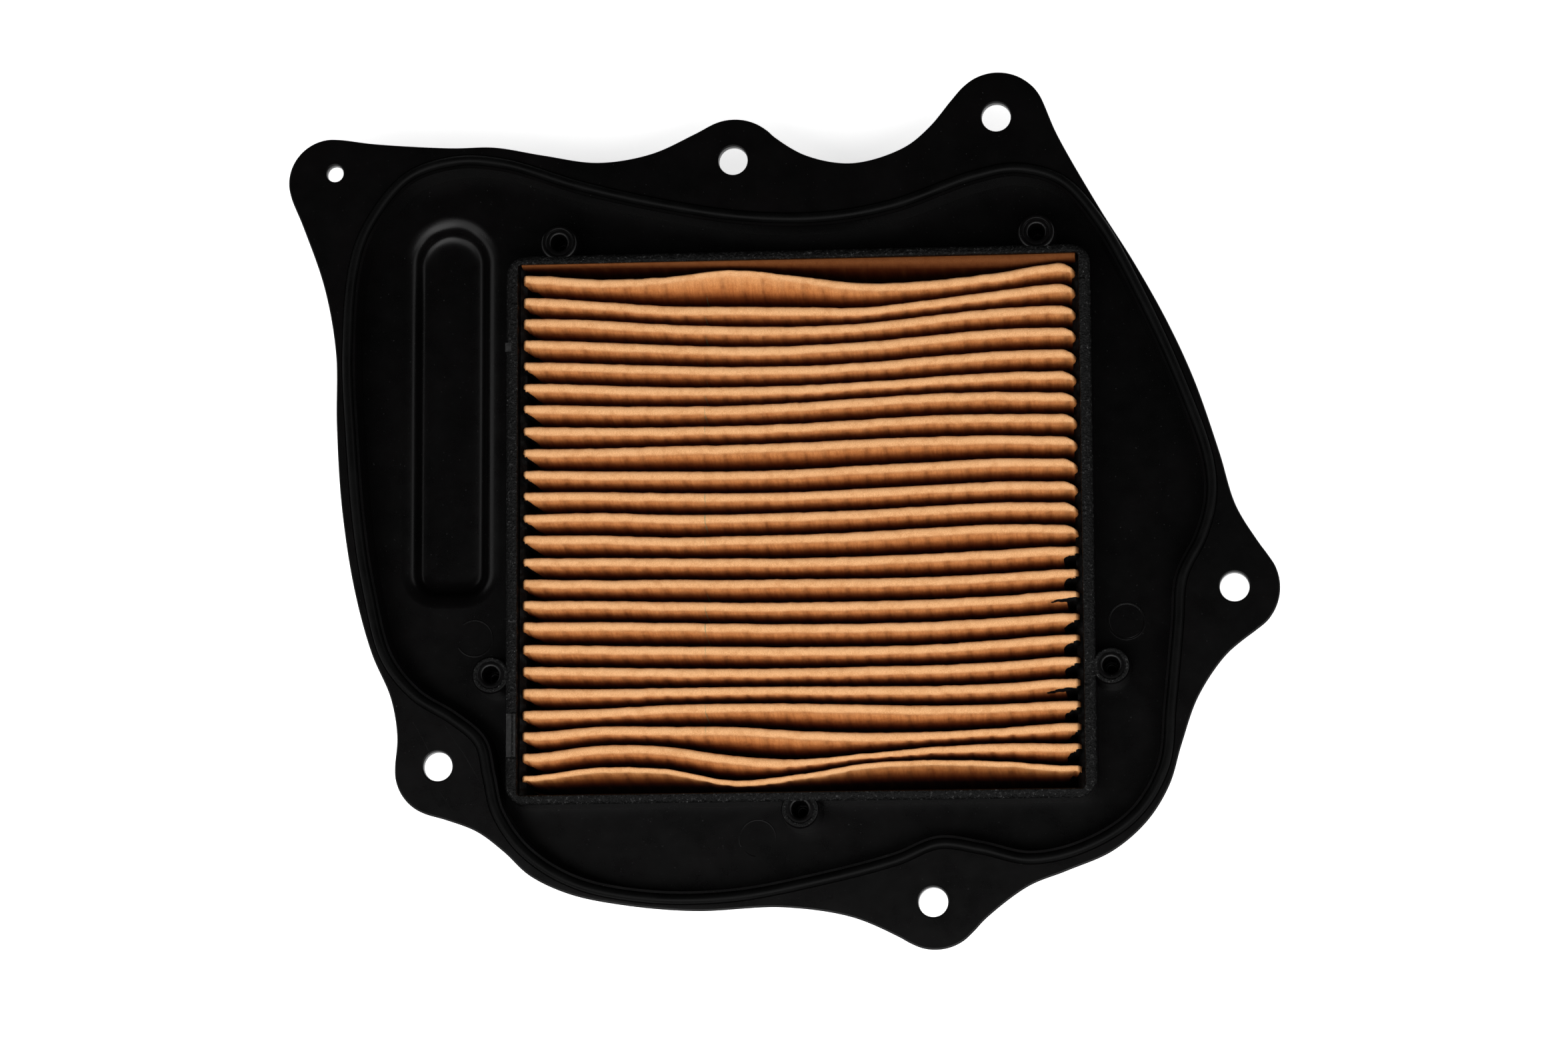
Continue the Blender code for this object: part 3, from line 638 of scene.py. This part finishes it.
def build_collar(shape):
    """The collar round the window; returns its foot and the window's lower edge."""
    inner = collar_loop(WINDOW, WINDOW_CORNER, 0.0)
    inner_top = collar_loop(WINDOW, WINDOW_CORNER, 0.22)
    outer_top = collar_loop(COLLAR, COLLAR_CORNER, -1.4)
    side = [(collar_loop(COLLAR, COLLAR_CORNER, grow), z) for grow, z in COLLAR_SWELL]
    side.append((outer_top, uneven(outer_top, 0.03, 23.23)))
    foot = shape.sweep(side[:COLLAR_ROUNDING + 1])[0]
    shape.sweep(side[COLLAR_ROUNDING:], slot=ROUGH)

    top = [(outer_top, uneven(outer_top, 0.03, 23.22))]
    for t in (0.86, 0.7, 0.5, 0.3, 0.14):
        loop = [(a[0] + (b[0] - a[0]) * t, a[1] + (b[1] - a[1]) * t)
                for a, b in zip(inner_top, outer_top)]
        top.append((loop, uneven(loop, 0.10, 23.28)))
    top += [(inner_top, uneven(inner_top, 0.05, 23.26)),
            (collar_loop(WINDOW, WINDOW_CORNER, 0.06), 23.08), (inner, 22.8)]
    shape.sweep(top, slot=ROUGH)
    window_under = shape.sweep([(inner, z) for z in (22.8, 17.0, FLOOR_UNDER)])[-1]

    # worn places at the left: a smooth stretch and a chipped edge
    for x1, x2, y1, y2, low, high in ((-65.25, -63.2, -51.3, -41.7, 23.2, 23.34),
                                      (-65.75, -64.3, 40.1, 42.1, 22.9, 23.3)):
        patch = [(x1, y1), (x2, y1), (x2, y2), (x1, y2)]
        base = shape.ring(patch, 22.4)
        crown = shape.ring(patch, [low, high, high, low])
        shape.bridge(base, crown, WORN)
        shape.cap(crown, WORN)
    return foot, window_under


def build_bosses(shape):
    """Five hollow screw bosses; the lower one is cut flat where it meets the collar."""
    def cut_flat(point):
        return (point[0], min(point[1], LOWER_BOSS_LIMIT))

    body = [(4.6, 13.1), (4.52, 15.2), (4.22, 21.9), (4.16, 22.3), (4.02, 22.62), (3.84, 22.76)]
    top = [(3.84, 22.76), (3.66, 22.84), (3.36, 22.86), (3.16, 22.8), (3.02, 22.6)]
    bore = [(3.02, 22.6), (2.9, 22.5), (2.5, 22.52), (2.15, 22.5), (1.94, 22.34), (1.8, 22.0),
            (1.75, 14.0)]
    for number, centre in enumerate(BOSSES):
        reshape = cut_flat if number == LOWER_BOSS else None
        shape.lathe(centre, body, 64, SMOOTH, reshape)
        shape.lathe(centre, top, 64, SMOOTH if centre[1] > 0 else ROUGH, reshape)
        shape.lathe(centre, bore, 64, SMOOTH)


def build_plate(plastic, rim, worn):
    """The carrier plate: flange, tray, collar, bosses and floor recess as one moulding."""
    shape = Shape()
    seal = smooth_loop(SEAL_PATH, CURVE_STEP)
    edge = flange_outline(CURVE_STEP)

    # Tray wall from the floor's fillet up to the seal groove's outer lip, seen from the seal
    wall = [(-2.06, FLOOR_TOP), (-2.02, 14.0), (-1.94, 18.6), (-1.9, 21.9), (-1.86, 22.1),
            (-1.78, FLANGE_TOP), (-1.22, FLANGE_TOP), (-1.17, 22.15), (-1.16, GROOVE_FLOOR),
            (1.16, GROOVE_FLOOR), (1.17, 22.13), (1.24, FLANGE_TOP)]
    rings = shape.sweep([(offset(seal, s), z) for s, z in reversed(wall)])
    inner_flange, floor_edge = rings[0], rings[-1]

    # Flange edge, from the top's rounding round to the underside
    lip = [(-0.42, FLANGE_TOP), (-0.26, 22.17), (-0.12, 22.08), (-0.03, 21.92), (0.0, 21.72),
           (-0.34, 19.95), (-0.4, 19.78), (-0.5, 19.67), (-0.68, FLANGE_UNDER)]
    rings = shape.sweep([(offset(edge, s), z) for s, z in reversed(lip)])
    flange_low, flange_high = rings[0], rings[-1]

    # Ear holes with a small rounding at both faces
    holes_high, holes_low = [], []
    for _, _, _, hole, diameter in EARS.values():
        r = diameter / 2
        profile = [(r + 0.35, FLANGE_UNDER), (r + 0.12, 19.66), (r, 19.9), (r, 21.9),
                   (r + 0.12, 22.14), (r + 0.35, FLANGE_TOP)]
        made = shape.lathe(hole, profile, 56)
        holes_high.append(made[-1])
        holes_low.append(made[0])
    shape.fill([flange_high, inner_flange] + holes_high)

    # Underside of the flange and the tray's outer wall
    skirt = [(1.2, FLANGE_UNDER), (0.8, 19.5), (0.58, 19.2), (0.5, 18.8), (0.42, 12.2),
             (0.28, 11.6), (-0.1, 11.18), (-0.7, FLOOR_UNDER)]
    rings = shape.sweep([(offset(seal, s), z) for s, z in skirt])
    shape.fill([flange_low, rings[0]] + holes_low, upwards=False)
    tray_under = rings[-1]

    collar_foot, window_under = build_collar(shape)

    # Floor recess and its cup underneath, seen from the recess's rim
    recess = [(5.7, FLOOR_TOP), (5.2, 13.17), (4.7, 13.08), (4.2, 12.94), (3.8, 12.79),
              (3.4, 12.6), (3.0, 12.35), (2.6, 12.0), (2.25, 11.55), (1.95, 11.1), (1.6, 10.6),
              (1.2, 10.25), (0.75, 10.02), (0.25, 9.86), (-0.25, 9.77), (-0.75, 9.72),
              (-1.3, POCKET_FLOOR), (-1.9, POCKET_FLOOR)]
    rings = shape.sweep([(pocket_loop(g), z) for g, z in recess])
    shape.fill([rings[-1]])
    shape.fill([floor_edge, collar_foot, rings[0]])
    cup = [(5.4, FLOOR_UNDER), (4.9, 10.9), (4.5, 10.5), (4.0, 9.8), (2.9, 8.1), (2.4, 7.65),
           (1.7, CUP_UNDER)]
    rings = shape.sweep([(pocket_loop(g), z) for g, z in reversed(cup)])
    shape.fill([rings[0]], upwards=False)
    shape.fill([tray_under, window_under, rings[-1]], upwards=False)

    build_bosses(shape)
    plate = shape.build("carrier_plate_body", [plastic, rim, worn])
    place(plate, "moulded_black_plastic", "carrier_plate")


RINGS = (  # ejector-pin rings: centre, radius, angles, width and height of the ridge
    ((-73.9, -23.4), 4.1, (-150, 130), 0.55, 0.05), ((72.3, -21.9), 4.1, (0, 360), 0.5, 0.05),
    ((72.3, -21.9), 3.8, (0, 360), 0.2, 0.03), ((-10.2, -69.2), 4.1, (-10, 205), 0.55, 0.05),
    ((-10.2, -69.2), 4.1, (225, 262), 0.32, 0.08))
SCRATCHES = (((-79.4, -43.6), (-70.8, -57.2)), ((-86.4, -43.0), (-82.4, -50.3)),
             ((-80.4, -58.6), (-77.3, -63.2)), ((-76.0, -48.5), (-72.4, -54.6)))


def build_marks(plastic):
    """Ejector-pin rings on the tray's floor and fine scratches on one ear."""
    shape = Shape()

    def ridge(path, width, height, base):
        left, right = offset(path, -width / 2, False), offset(path, width / 2, False)
        rings = [(left, base - 0.02), (path, base + height), (right, base - 0.02)]
        shape.sweep(rings, closed=False)

    for centre, radius, angles, width, height in RINGS:
        ridge(arc(centre, radius, *angles, 5), width, height, FLOOR_TOP)
    for a, b in SCRATCHES:
        bend = ((a[0] + b[0]) / 2 + 0.1, (a[1] + b[1]) / 2 + 0.1)
        ridge([a, bend, b], 0.14, 0.03, FLANGE_TOP)
    place(shape.build("mould_marks", [plastic]), "moulded_black_plastic")


def build_seal(rubber):
    """The cord seal, swept round its path."""
    shape = Shape()
    loop = smooth_loop(SEAL_PATH, CURVE_STEP)
    sides = 20
    rings = []
    for k in range(sides + 1):
        turn = 2 * math.pi * k / sides
        height = SEAL_HEIGHT + SEAL_RADIUS * math.sin(turn)
        rings.append((offset(loop, SEAL_RADIUS * math.cos(turn)), height))
    shape.sweep(rings)
    seal = shape.build("cord_seal", [rubber], weighted=False)
    place(seal, "black_rubber", "perimeter_seal")


# ---- pleated element

PLEAT_TOP = 22.2
PLEAT_FOOT = 3.2
END_X = 62.2  # where the paper ends, against the side walls
WALL_Y = 59.2
FLAP_Y, FLAP_TOP = 59.75, 22.3  # the sheet's first edge, up the upper wall
PAPER = 0.45
TIPPED = 13  # the crests before this one taper at the right wall; glue covers the others' ends
STATIONS = (-59.2, -44.4, -29.5, -14.7, 0.2, 15.0, 29.9, 44.7, 58.1)

# Upper edge of each crest at the stations along X, from the top wall down
CRESTS = [
    (57.6, 56.4, 56.6, 57.8, 56.1, 54.2, 54.5, 55.9, 57.8),
    (52.5, 51.3, 50.0, 49.5, 49.1, 48.7, 50.1, 51.8, 53.1),
    (47.7, 47.0, 45.8, 45.0, 44.7, 45.1, 46.5, 47.8, 48.2),
    (42.8, 42.0, 41.1, 40.4, 40.3, 40.9, 42.0, 43.1, 43.2),
    (37.8, 37.1, 36.4, 35.8, 35.7, 36.2, 37.2, 38.1, 38.3),
    (32.9, 32.2, 31.5, 31.2, 31.3, 31.8, 32.6, 33.3, 33.3),
    (28.0, 27.5, 27.1, 27.0, 27.4, 28.1, 28.8, 28.9, 28.5),
    (23.0, 22.6, 22.4, 22.4, 22.7, 23.3, 23.9, 23.9, 23.7),
    (18.0, 17.9, 18.1, 18.1, 18.4, 18.8, 19.1, 19.1, 18.6),
    (13.1, 12.7, 12.4, 12.1, 12.3, 12.9, 13.4, 13.9, 13.6),
    (8.2, 8.0, 7.5, 7.2, 7.2, 7.7, 8.2, 8.7, 8.5),
    (3.2, 3.3, 2.6, 2.4, 2.6, 2.9, 3.5, 4.0, 3.8),
    (-1.6, -1.8, -2.5, -2.5, -2.4, -2.0, -1.4, -0.9, -1.2),
    (-6.7, -6.9, -7.2, -7.5, -7.7, -7.5, -7.2, -6.6, -6.1),
    (-11.5, -11.9, -12.0, -12.3, -12.4, -12.5, -12.4, -11.9, -11.2),
    (-16.3, -16.6, -17.0, -17.4, -17.6, -17.6, -17.4, -16.9, -16.1),
    (-21.1, -21.3, -21.7, -22.1, -22.5, -22.6, -22.4, -21.8, -21.0),
    (-26.2, -26.6, -27.0, -27.3, -27.6, -27.7, -27.5, -26.7, -25.8),
    (-31.1, -31.5, -31.9, -32.2, -32.3, -32.2, -32.1, -31.6, -30.7),
    (-36.0, -36.3, -36.3, -36.3, -36.4, -36.6, -36.7, -36.4, -35.6),
    (-40.9, -40.7, -40.1, -40.0, -40.2, -40.7, -41.1, -41.0, -40.5),
    (-45.7, -44.7, -44.9, -45.2, -46.3, -46.9, -46.9, -46.3, -45.4),
    (-50.5, -48.9, -49.4, -51.6, -52.6, -51.5, -50.3, -49.7, -49.9),
    (-55.4, -53.8, -54.4, -57.1, -55.9, -53.7, -53.2, -53.7, -54.8),
]


def along(values, x):
    """A smooth curve through values given at the stations, straight beyond them."""
    n = len(STATIONS)
    i = max(0, min(n - 2, sum(s <= x for s in STATIONS) - 1))
    x1, x2 = STATIONS[i], STATIONS[i + 1]
    t = max(0.0, min(1.0, (x - x1) / (x2 - x1)))
    p1, p2 = values[i], values[i + 1]
    m1 = (p2 - values[i - 1]) / 2 if i > 0 else (p2 - p1) / 2
    m2 = (values[i + 2] - p1) / 2 if i < n - 2 else (p2 - p1) / 2
    t2, t3 = t * t, t * t * t
    ends = (2 * t3 - 3 * t2 + 1) * p1 + (t3 - 2 * t2 + t) * m1
    return ends + (3 * t2 - 2 * t3) * p2 + (t3 - t2) * m2


def ease(t):
    """A soft step from 0 to 1."""
    t = max(0.0, min(1.0, t))
    return t * t * (3 - 2 * t)


def bulge_at(x):
    """How far the first pleat is swollen at x, 0 to 1."""
    return math.exp(-((x + 12.0) / 20.0) ** 2)


def rib_at(x):
    """How close x is to the middle of an embossed rib, 0 to 1."""
    phase = (x + SHIFT[0] / MM) % RIB_PITCH
    return math.exp(-((phase - RIB_PITCH / 2) / 0.5) ** 2)


def openness_at(x):
    """How open the pleats are beside the left and the right wall, 0 to 1."""
    near_left = min(1.0, (x + END_X) / 5.5)
    near_right = min(1.0, (END_X - x) / 5.0)
    return 1 - (1 - near_left) ** 2, 0.35 + 0.65 * (1 - (1 - near_right) ** 2)


def crests_at(x):
    """Middle, half width and top of each crest at x, from the upper wall down."""
    upper = [along(c, x) for c in CRESTS]
    last = len(CRESTS) - 1
    left, _ = openness_at(x)
    sunk = 3.2 * max(0.0, 1 - (END_X - abs(x)) / 1.1) ** 2
    crests = []
    for k in range(len(CRESTS)):
        above = upper[k - 1] - upper[k] if k else WALL_Y - upper[k] + 2.4
        below = upper[k] - upper[k + 1] if k < last else upper[k] + WALL_Y + 2.2
        half = min(1.02, 0.25 * below, 0.24 * above + 0.2)
        if k == 0:
            half *= 1 - 0.4 * bulge_at(x)
        elif k == last:
            half = min(half, 0.62)
        wobble = 0.10 * noise.noise(Vector((x * 0.12, k * 3.7, 1.3)))
        wide = (half + wobble) * (0.8 + 0.2 * left)
        edge = upper[k] + 0.12 * noise.noise(Vector((x * 0.35, k * 5.1, 8.0)))
        edge += 0.06 * noise.noise(Vector((x * 1.3, k * 2.3, 5.0)))
        middle = edge - wide
        if k < TIPPED:
            tip = min(1.0, (END_X - x) / 2.8)
            narrow = wide * (0.3 + 0.7 * tip ** 0.8)
            middle -= (wide - narrow) + 0.25 * (1 - tip)
            wide = narrow
        top = PLEAT_TOP - 0.03 + 0.06 * noise.noise(Vector((x * 0.05, k * 2.9, 4.4))) - sunk
        crests.append((middle, wide, top))
    return crests


def valley(upper_side, lower_side, openness):
    """Middle and half width of the fold between two crests; it hugs the lower crest."""
    gap = max(0.3, upper_side - lower_side)
    half = min(0.5, gap * 0.3)
    hugging = lower_side + half + 0.15
    return hugging + (1 - openness) * 0.45 * gap, half


def valley_floor(middle, half):
    """The round bottom of a valley, from its upper to its lower side."""
    turns = [math.radians(a) for a in (0, 45, 90, 135, 180)]
    return [(middle + half * math.cos(t), PLEAT_FOOT + half * (1 - math.sin(t))) for t in turns]


def sheet_row(x):
    """The folded sheet in section at x: (y, z) points from the upper wall to the lower one."""
    crests = crests_at(x)
    bulge, rib, openness = bulge_at(x), rib_at(x), min(openness_at(x))
    lean = 0.3 + 2.0 * ease((x + 60) / 106) - ease((x - 46) / 16)
    high_edges = [middle + wide for middle, wide, _ in crests] + [-WALL_Y]
    low_edges = [FLAP_Y - lean] + [middle - wide for middle, wide, _ in crests]
    folds = [valley(low, high, openness) for low, high in zip(low_edges, high_edges)]

    row = [(FLAP_Y, FLAP_TOP), (FLAP_Y - 0.6 * lean, FLAP_TOP - 0.7),
           (FLAP_Y - lean, FLAP_TOP - 2.6)]
    for k, (middle, wide, top) in enumerate(crests):
        shoulder = top - wide * 0.9 + 0.16
        row += valley_floor(*folds[k])

        # upper side
        fold, half = folds[k]
        y1, z1 = fold - half, PLEAT_FOOT + half
        row += [(y1 + (high_edges[k] - y1) * t, z1 + (shoulder - z1) * t) for t in (0.3, 0.6, 0.85)]

        # crest
        reach = 1 - 0.32 * bulge if k == 0 else 1.0
        for a in (0, 22, 45, 68, 90, 112, 135, 158, 180):
            turn = math.radians(a * reach)
            y = middle + wide * math.cos(turn)
            z = shoulder + wide * 0.9 * math.sin(turn) + 0.2 * (math.cos(turn) - 1) * (a > 0)
            if a > 120:
                y += 0.10 * rib * (a - 120) / 60
            row.append((y, z))

        # lower side, towards the next valley
        low = low_edges[k + 1]
        fold, half = folds[k + 1]
        y2, z2 = fold + half, PLEAT_FOOT + half
        slack = 1.2 + 0.4 * bulge if k == 0 else 0.7 if k == len(crests) - 1 else 1.2
        for t in (0.05, 0.12, 0.22, 0.36, 0.55, 0.8):
            y = low + (y2 - low) * (t + 0.9 * t * (1 - t)) + 0.34 * rib * (1 - t)
            row.append((y, shoulder - 0.4 + (z2 - shoulder + 0.4) * t ** slack))
    row += valley_floor(*folds[-1])
    return row + [(-59.3, 9.0), (-59.5, 16.0), (-59.7, 19.5)]


SHADED = 1  # the material slot of the sheet's flaps, whose paper carries painted shade
FLAP_POINTS = 3  # at each end of a sheet_row
PLEAT_POINTS = 23  # of each pleat in a sheet_row: 5 in the valley, 3 up, 9 on the crest, 6 down
TO_CREST_TOP = 12


def crest_profile(row, k):
    """The points of one crest and the side below it, from the top of the crest down."""
    first = FLAP_POINTS + PLEAT_POINTS * k + TO_CREST_TOP
    return row[first:first + 12]


def height_on(profile, y):
    """Height of the paper at y, on a crest_profile."""
    for (y1, z1), (y2, z2) in zip(profile, profile[1:]):
        if y >= y2:
            t = (y - y1) / (y2 - y1) if y2 != y1 else 0.0
            return z1 + (z2 - z1) * max(0.0, t)
    return profile[-1][1]


def build_paper(paper, shaded):
    """The folded sheet with its wandering crests."""
    coarse_end = END_X - 2.4
    fine = [-END_X + 0.2 * k for k in range(12)]
    count = round(2 * coarse_end / 0.75)
    coarse = [-coarse_end + 2 * coarse_end * k / count for k in range(count + 1)]
    shape = Shape()
    lanes = []
    for x in fine + coarse + [-x for x in reversed(fine)]:
        lanes.append(shape.lane([(x, y, z) for y, z in sheet_row(x)]))
    flap = FLAP_POINTS
    for a, b in zip(lanes, lanes[1:]):
        shape.bridge(b[:flap + 1], a[:flap + 1], SHADED, closed=False)
        shape.bridge(b[flap:-flap], a[flap:-flap], closed=False)
        shape.bridge(b[-flap - 1:], a[-flap - 1:], SHADED, closed=False)
    sheet = shape.build("pleated_paper_sheet", [paper, shaded], sharp=180, weighted=False)
    thick = sheet.modifiers.new("thickness", "SOLIDIFY")
    thick.thickness = PAPER * MM
    thick.offset = 1.0
    place(sheet, "filter_paper", "pleated_paper")


# ---- adhesive

GLUE_LANES = (62.75, 62.4, 62.0, 61.4, 60.9)  # distances from the middle; the last one lies deep
FINGERS = {15: (6.4, 1.7), 19: (7.6, 2.1)}  # crests with a long tongue: reach, drop from its edge
TONGUE_STEPS = 40


def build_glue_bed(glue):
    """The adhesive along each side wall, in which the pleats' ends stand."""
    shape = Shape()
    for side in (-1, 1):
        lanes = []
        for x in GLUE_LANES:
            lane = []
            for k in range(241):
                y = -59.7 + 119.4 * k / 240
                lift = noise.noise(Vector((x * 0.8, y * 0.7, side * 5.0)))
                rise = 19.6 + 0.7 * lift - (GLUE_LANES[0] - x) * 1.1
                lane.append((side * x, y, 8.0 if x == GLUE_LANES[-1] else rise))
            lanes.append(shape.lane(lane))
        for a, b in zip(lanes, lanes[1:]):
            first, second = (a, b) if side > 0 else (b, a)
            shape.bridge(first, second, closed=False)
    place(shape.build("glue_bed", [glue]), "dark_adhesive", "end_bond_left", "end_bond_right",
          "side_bond_lower", "side_bond_upper")


def tongue_edges(side, k, x, t, finger):
    """Upper and lower edge, as Y, of the adhesive on crest k at a share t of its reach."""
    body = max(0.0, 1 - t / (0.45 if finger else 1.0))
    ragged = noise.noise(Vector((x * 1.1, k * 4.3, 0.5)))
    crest = along(CRESTS[k], x)
    if side > 0:
        high = crest - 2.75 + 1.5 * body ** 0.8 + 0.35 * ragged
    else:
        cut = 0.7 if 3 < k < 14 else 1.6
        high = crest - cut - (3.5 - cut) * min(1.0, t * 1.15) ** 0.8 + 0.15 * ragged
    deep = crest - 4.2
    if finger:
        middle = crest - finger[1] - 0.4 * t + 0.12 * ragged
        thin = 0.34 * (1 - t) ** 0.6 + 0.03
        high = max(high, middle + thin) if body > 0 else middle + thin
        deep = deep * body ** 0.3 + (middle - thin) * (1 - body ** 0.3)
    elif t == 1:
        deep = high - 0.05
    return high, deep


def build_glue_tongues(glue):
    """Ragged tongues of adhesive up the pleats' lower sides at both walls."""
    shape = Shape()
    draws = random.Random(5)
    right = [(1, k) for k in range(TIPPED, len(CRESTS))]
    left = [(-1, k) for k in range(len(CRESTS))]
    for side, k in right + left:
        finger = FINGERS.get(k) if side > 0 else None
        reach = finger[0] if finger else (2.9 if side > 0 else 4.6) + 0.9 * draws.random()
        lanes = []
        for step in range(TONGUE_STEPS + 1):
            t = step / TONGUE_STEPS
            x = side * (END_X - reach * t)
            high, deep = tongue_edges(side, k, x, t, finger)
            profile = crest_profile(sheet_row(x), k)
            lane = []
            for n in range(9):
                y = high + (deep - high) * n / 8
                slope = (height_on(profile, y + 0.1) - height_on(profile, y - 0.1)) / 0.2
                lift = (0.02 if n in (0, 8) else 0.16) / math.hypot(1, slope)
                lane.append((x, y - lift * slope, height_on(profile, y) + lift))
            lanes.append(shape.lane(lane))
        for a, b in zip(lanes, lanes[1:]):
            shape.bridge(a, b, closed=False)
    place(shape.build("glue_tongues", [glue], sharp=80), "dark_adhesive")


# ---- retainer and screws

SCREW_SIDES = 72
SCREW_CORE = 1.12
SCREW_THREAD = 1.4
THREAD_PITCH = 1.0
SCREW_HEAD = [(0.05, 0.0)] + [(0.15 * n, 0.0) for n in range(1, 10)] + [
    (1.5, 0.02), (1.8, 0.08), (2.1, 0.2), (2.35, 0.4), (2.54, 0.68), (2.65, 1.0), (2.7, 1.4),
    (2.7, 1.85), (2.6, 2.0), (1.5, 2.0), (1.38, 2.1)]  # radius, height above the head's foot


def dress(name, material, rounding):
    """Gives a CAD piece that is shown as it is a new material and rounded edges."""
    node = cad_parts[name]
    node.data.materials.clear()
    node.data.materials.append(material)
    bevel = node.modifiers.new("soft_edges", "BEVEL")
    bevel.width = rounding * MM
    bevel.segments = 2
    bevel.limit_method = "ANGLE"
    bevel.angle_limit = math.radians(40)


def build_screw(number, steel):
    """A pan-head self-tapping screw with a cross recess, head down."""
    node = f"retainer_screw_{number}"
    low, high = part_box(node)
    foot, point = low[2] / MM, high[2] / MM
    centre = BOSSES[number - 1]

    def recess(x, y):
        """Depth of the cross recess in the head."""
        x, y = abs(x - centre[0]), abs(y - centre[1])
        arm = min(1.0, max(0.0, (0.38 - min(x, y)) / 0.09))
        return 0.95 * arm * min(1.0, max(0.0, (1.4 - max(x, y)) / 0.3))

    rings = []
    for radius, rise in SCREW_HEAD:
        loop = circle(centre, radius, SCREW_SIDES)
        rings.append((loop, [foot + rise + recess(x, y) for x, y in loop]))
    shank = []
    z = foot + 2.5
    while z < point - 2.2:
        shank += [(SCREW_CORE, z), (SCREW_CORE, z + 0.25), (SCREW_THREAD, z + 0.5),
                  (SCREW_CORE, z + 0.75)]
        z += THREAD_PITCH
    shank += [(1.0, point - 1.8), (0.1, point)]
    rings += [(circle(centre, radius, SCREW_SIDES), height) for radius, height in shank]
    shape = Shape()
    shape.sweep(rings)
    place(shape.build(f"screw_{number}", [steel], sharp=50), "blackened_steel", node)


# ---- stage

FLOOR_HALF = 1500.0
BACKDROP_RADIUS = 2600.0
BACKDROP_HEIGHT = 1200.0
LIGHT_DISTANCE = 1.0  # metres from the filter
CAMERA_DISTANCE = 1.112  # metres from its target
CAMERA_TARGET = (-3.4, 0.6, 20)
CAMERA_LENS = 114.6


def build_floor():
    """A pale floor that glows a little, and a sweep behind it for views from the side."""
    look = Look("studio_floor", (0.93, 0.93, 0.93), 0.75)
    look.feed(look.shader.inputs["Emission Color"], (1.0, 1.0, 1.0))
    look.feed(look.shader.inputs["Emission Strength"], 0.7)
    shape = Shape()
    corners = [(-FLOOR_HALF, -FLOOR_HALF), (FLOOR_HALF, -FLOOR_HALF), (FLOOR_HALF, FLOOR_HALF),
               (-FLOOR_HALF, FLOOR_HALF)]
    shape.fill([shape.ring(corners, -0.05)])
    shape.build("studio_floor", [look.material], weighted=False)

    # the sweep adds no light to the object
    sweep = Shape()
    profile = ((FLOOR_HALF - 100, -0.1), (BACKDROP_RADIUS, -0.1),
               (BACKDROP_RADIUS, BACKDROP_HEIGHT))
    sweep.sweep([(circle((0, 0), radius, 96), height) for radius, height in profile])
    backdrop = sweep.build("studio_backdrop", [look.material], weighted=False)
    backdrop.visible_diffuse = backdrop.visible_glossy = backdrop.visible_shadow = False


def softbox(name, azimuth, elevation, size, power):
    """An area light that looks at the filter; azimuth 0 is +X, 90 is +Y."""
    light = bpy.data.lights.new(name, "AREA")
    light.shape = "RECTANGLE"
    light.size, light.size_y = size
    light.energy = power
    obj = bpy.data.objects.new(name, light)
    a, e = math.radians(azimuth), math.radians(elevation)
    away = Vector((math.cos(e) * math.cos(a), math.cos(e) * math.sin(a), math.sin(e)))
    obj.location = away * LIGHT_DISTANCE
    obj.rotation_euler = (-away).to_track_quat("-Z", "Y").to_euler()
    bpy.context.scene.collection.objects.link(obj)


def build_lights():
    """Two softboxes above the lower side, weaker ones left and right, a faint sky."""
    softbox("south_west_softbox", 248, 57, (1.3, 0.75), 6.6)
    softbox("south_east_softbox", 294, 54, (1.2, 0.75), 6.6)
    softbox("west_softbox", 182, 28, (1.3, 0.5), 2.8)
    softbox("east_softbox", 0, 28, (1.3, 0.5), 3.4)
    world = bpy.data.worlds.new("studio")
    world.use_nodes = True
    sky = world.node_tree.nodes["Background"]
    sky.inputs["Color"].default_value = (1.0, 1.0, 1.0, 1.0)
    sky.inputs["Strength"].default_value = 0.012
    bpy.context.scene.world = world


def build_camera():
    """Nearly straight down on the pleats, leaning a little towards the lower and right sides."""
    target = Vector((*SHIFT, 0.0)) + Vector(CAMERA_TARGET) * MM
    lean_y, lean_x, roll = math.radians(8.6), math.radians(5.0), math.radians(0.3)
    away = Vector((math.tan(lean_x), -math.tan(lean_y), 1.0)).normalized()
    right = Vector((0, 1, 0)).cross(away).normalized()
    up = away.cross(right)
    x_axis = right * math.cos(roll) - up * math.sin(roll)
    y_axis = right * math.sin(roll) + up * math.cos(roll)
    data = bpy.data.cameras.new("camera")
    data.lens = CAMERA_LENS
    data.sensor_width = 36.0
    data.clip_start = 0.01
    camera = bpy.data.objects.new("camera", data)
    turn = Matrix((x_axis, y_axis, away)).transposed().to_4x4()
    camera.matrix_world = Matrix.Translation(target + away * CAMERA_DISTANCE) @ turn
    bpy.context.scene.collection.objects.link(camera)
    bpy.context.scene.camera = camera


def main():
    bpy.context.scene.view_settings.view_transform = "Standard"
    plastic, glue, steel = moulded_plastic(), dark_glue(), black_zinc()
    # a copy of the paper with painted shade, for the flaps against the walls
    shaded = filter_paper("filter_paper_painted_shade", (0.19, 0.115, 0.07))
    build_plate(plastic, rough_rim_plastic(), worn_plastic())
    build_marks(plastic)
    build_seal(seal_rubber())
    build_paper(filter_paper("filter_paper"), shaded)
    build_glue_bed(glue)
    build_glue_tongues(glue)
    for number in range(1, len(BOSSES) + 1):
        build_screw(number, steel)
    dress("rear_retainer", plastic, 0.3)
    dress("retainer_gasket", open_foam(), 0.15)
    dress("support_screen", zinc_plate(), 0.1)
    build_floor()
    build_lights()
    build_camera()


main()
bpy.context.view_layer.update()
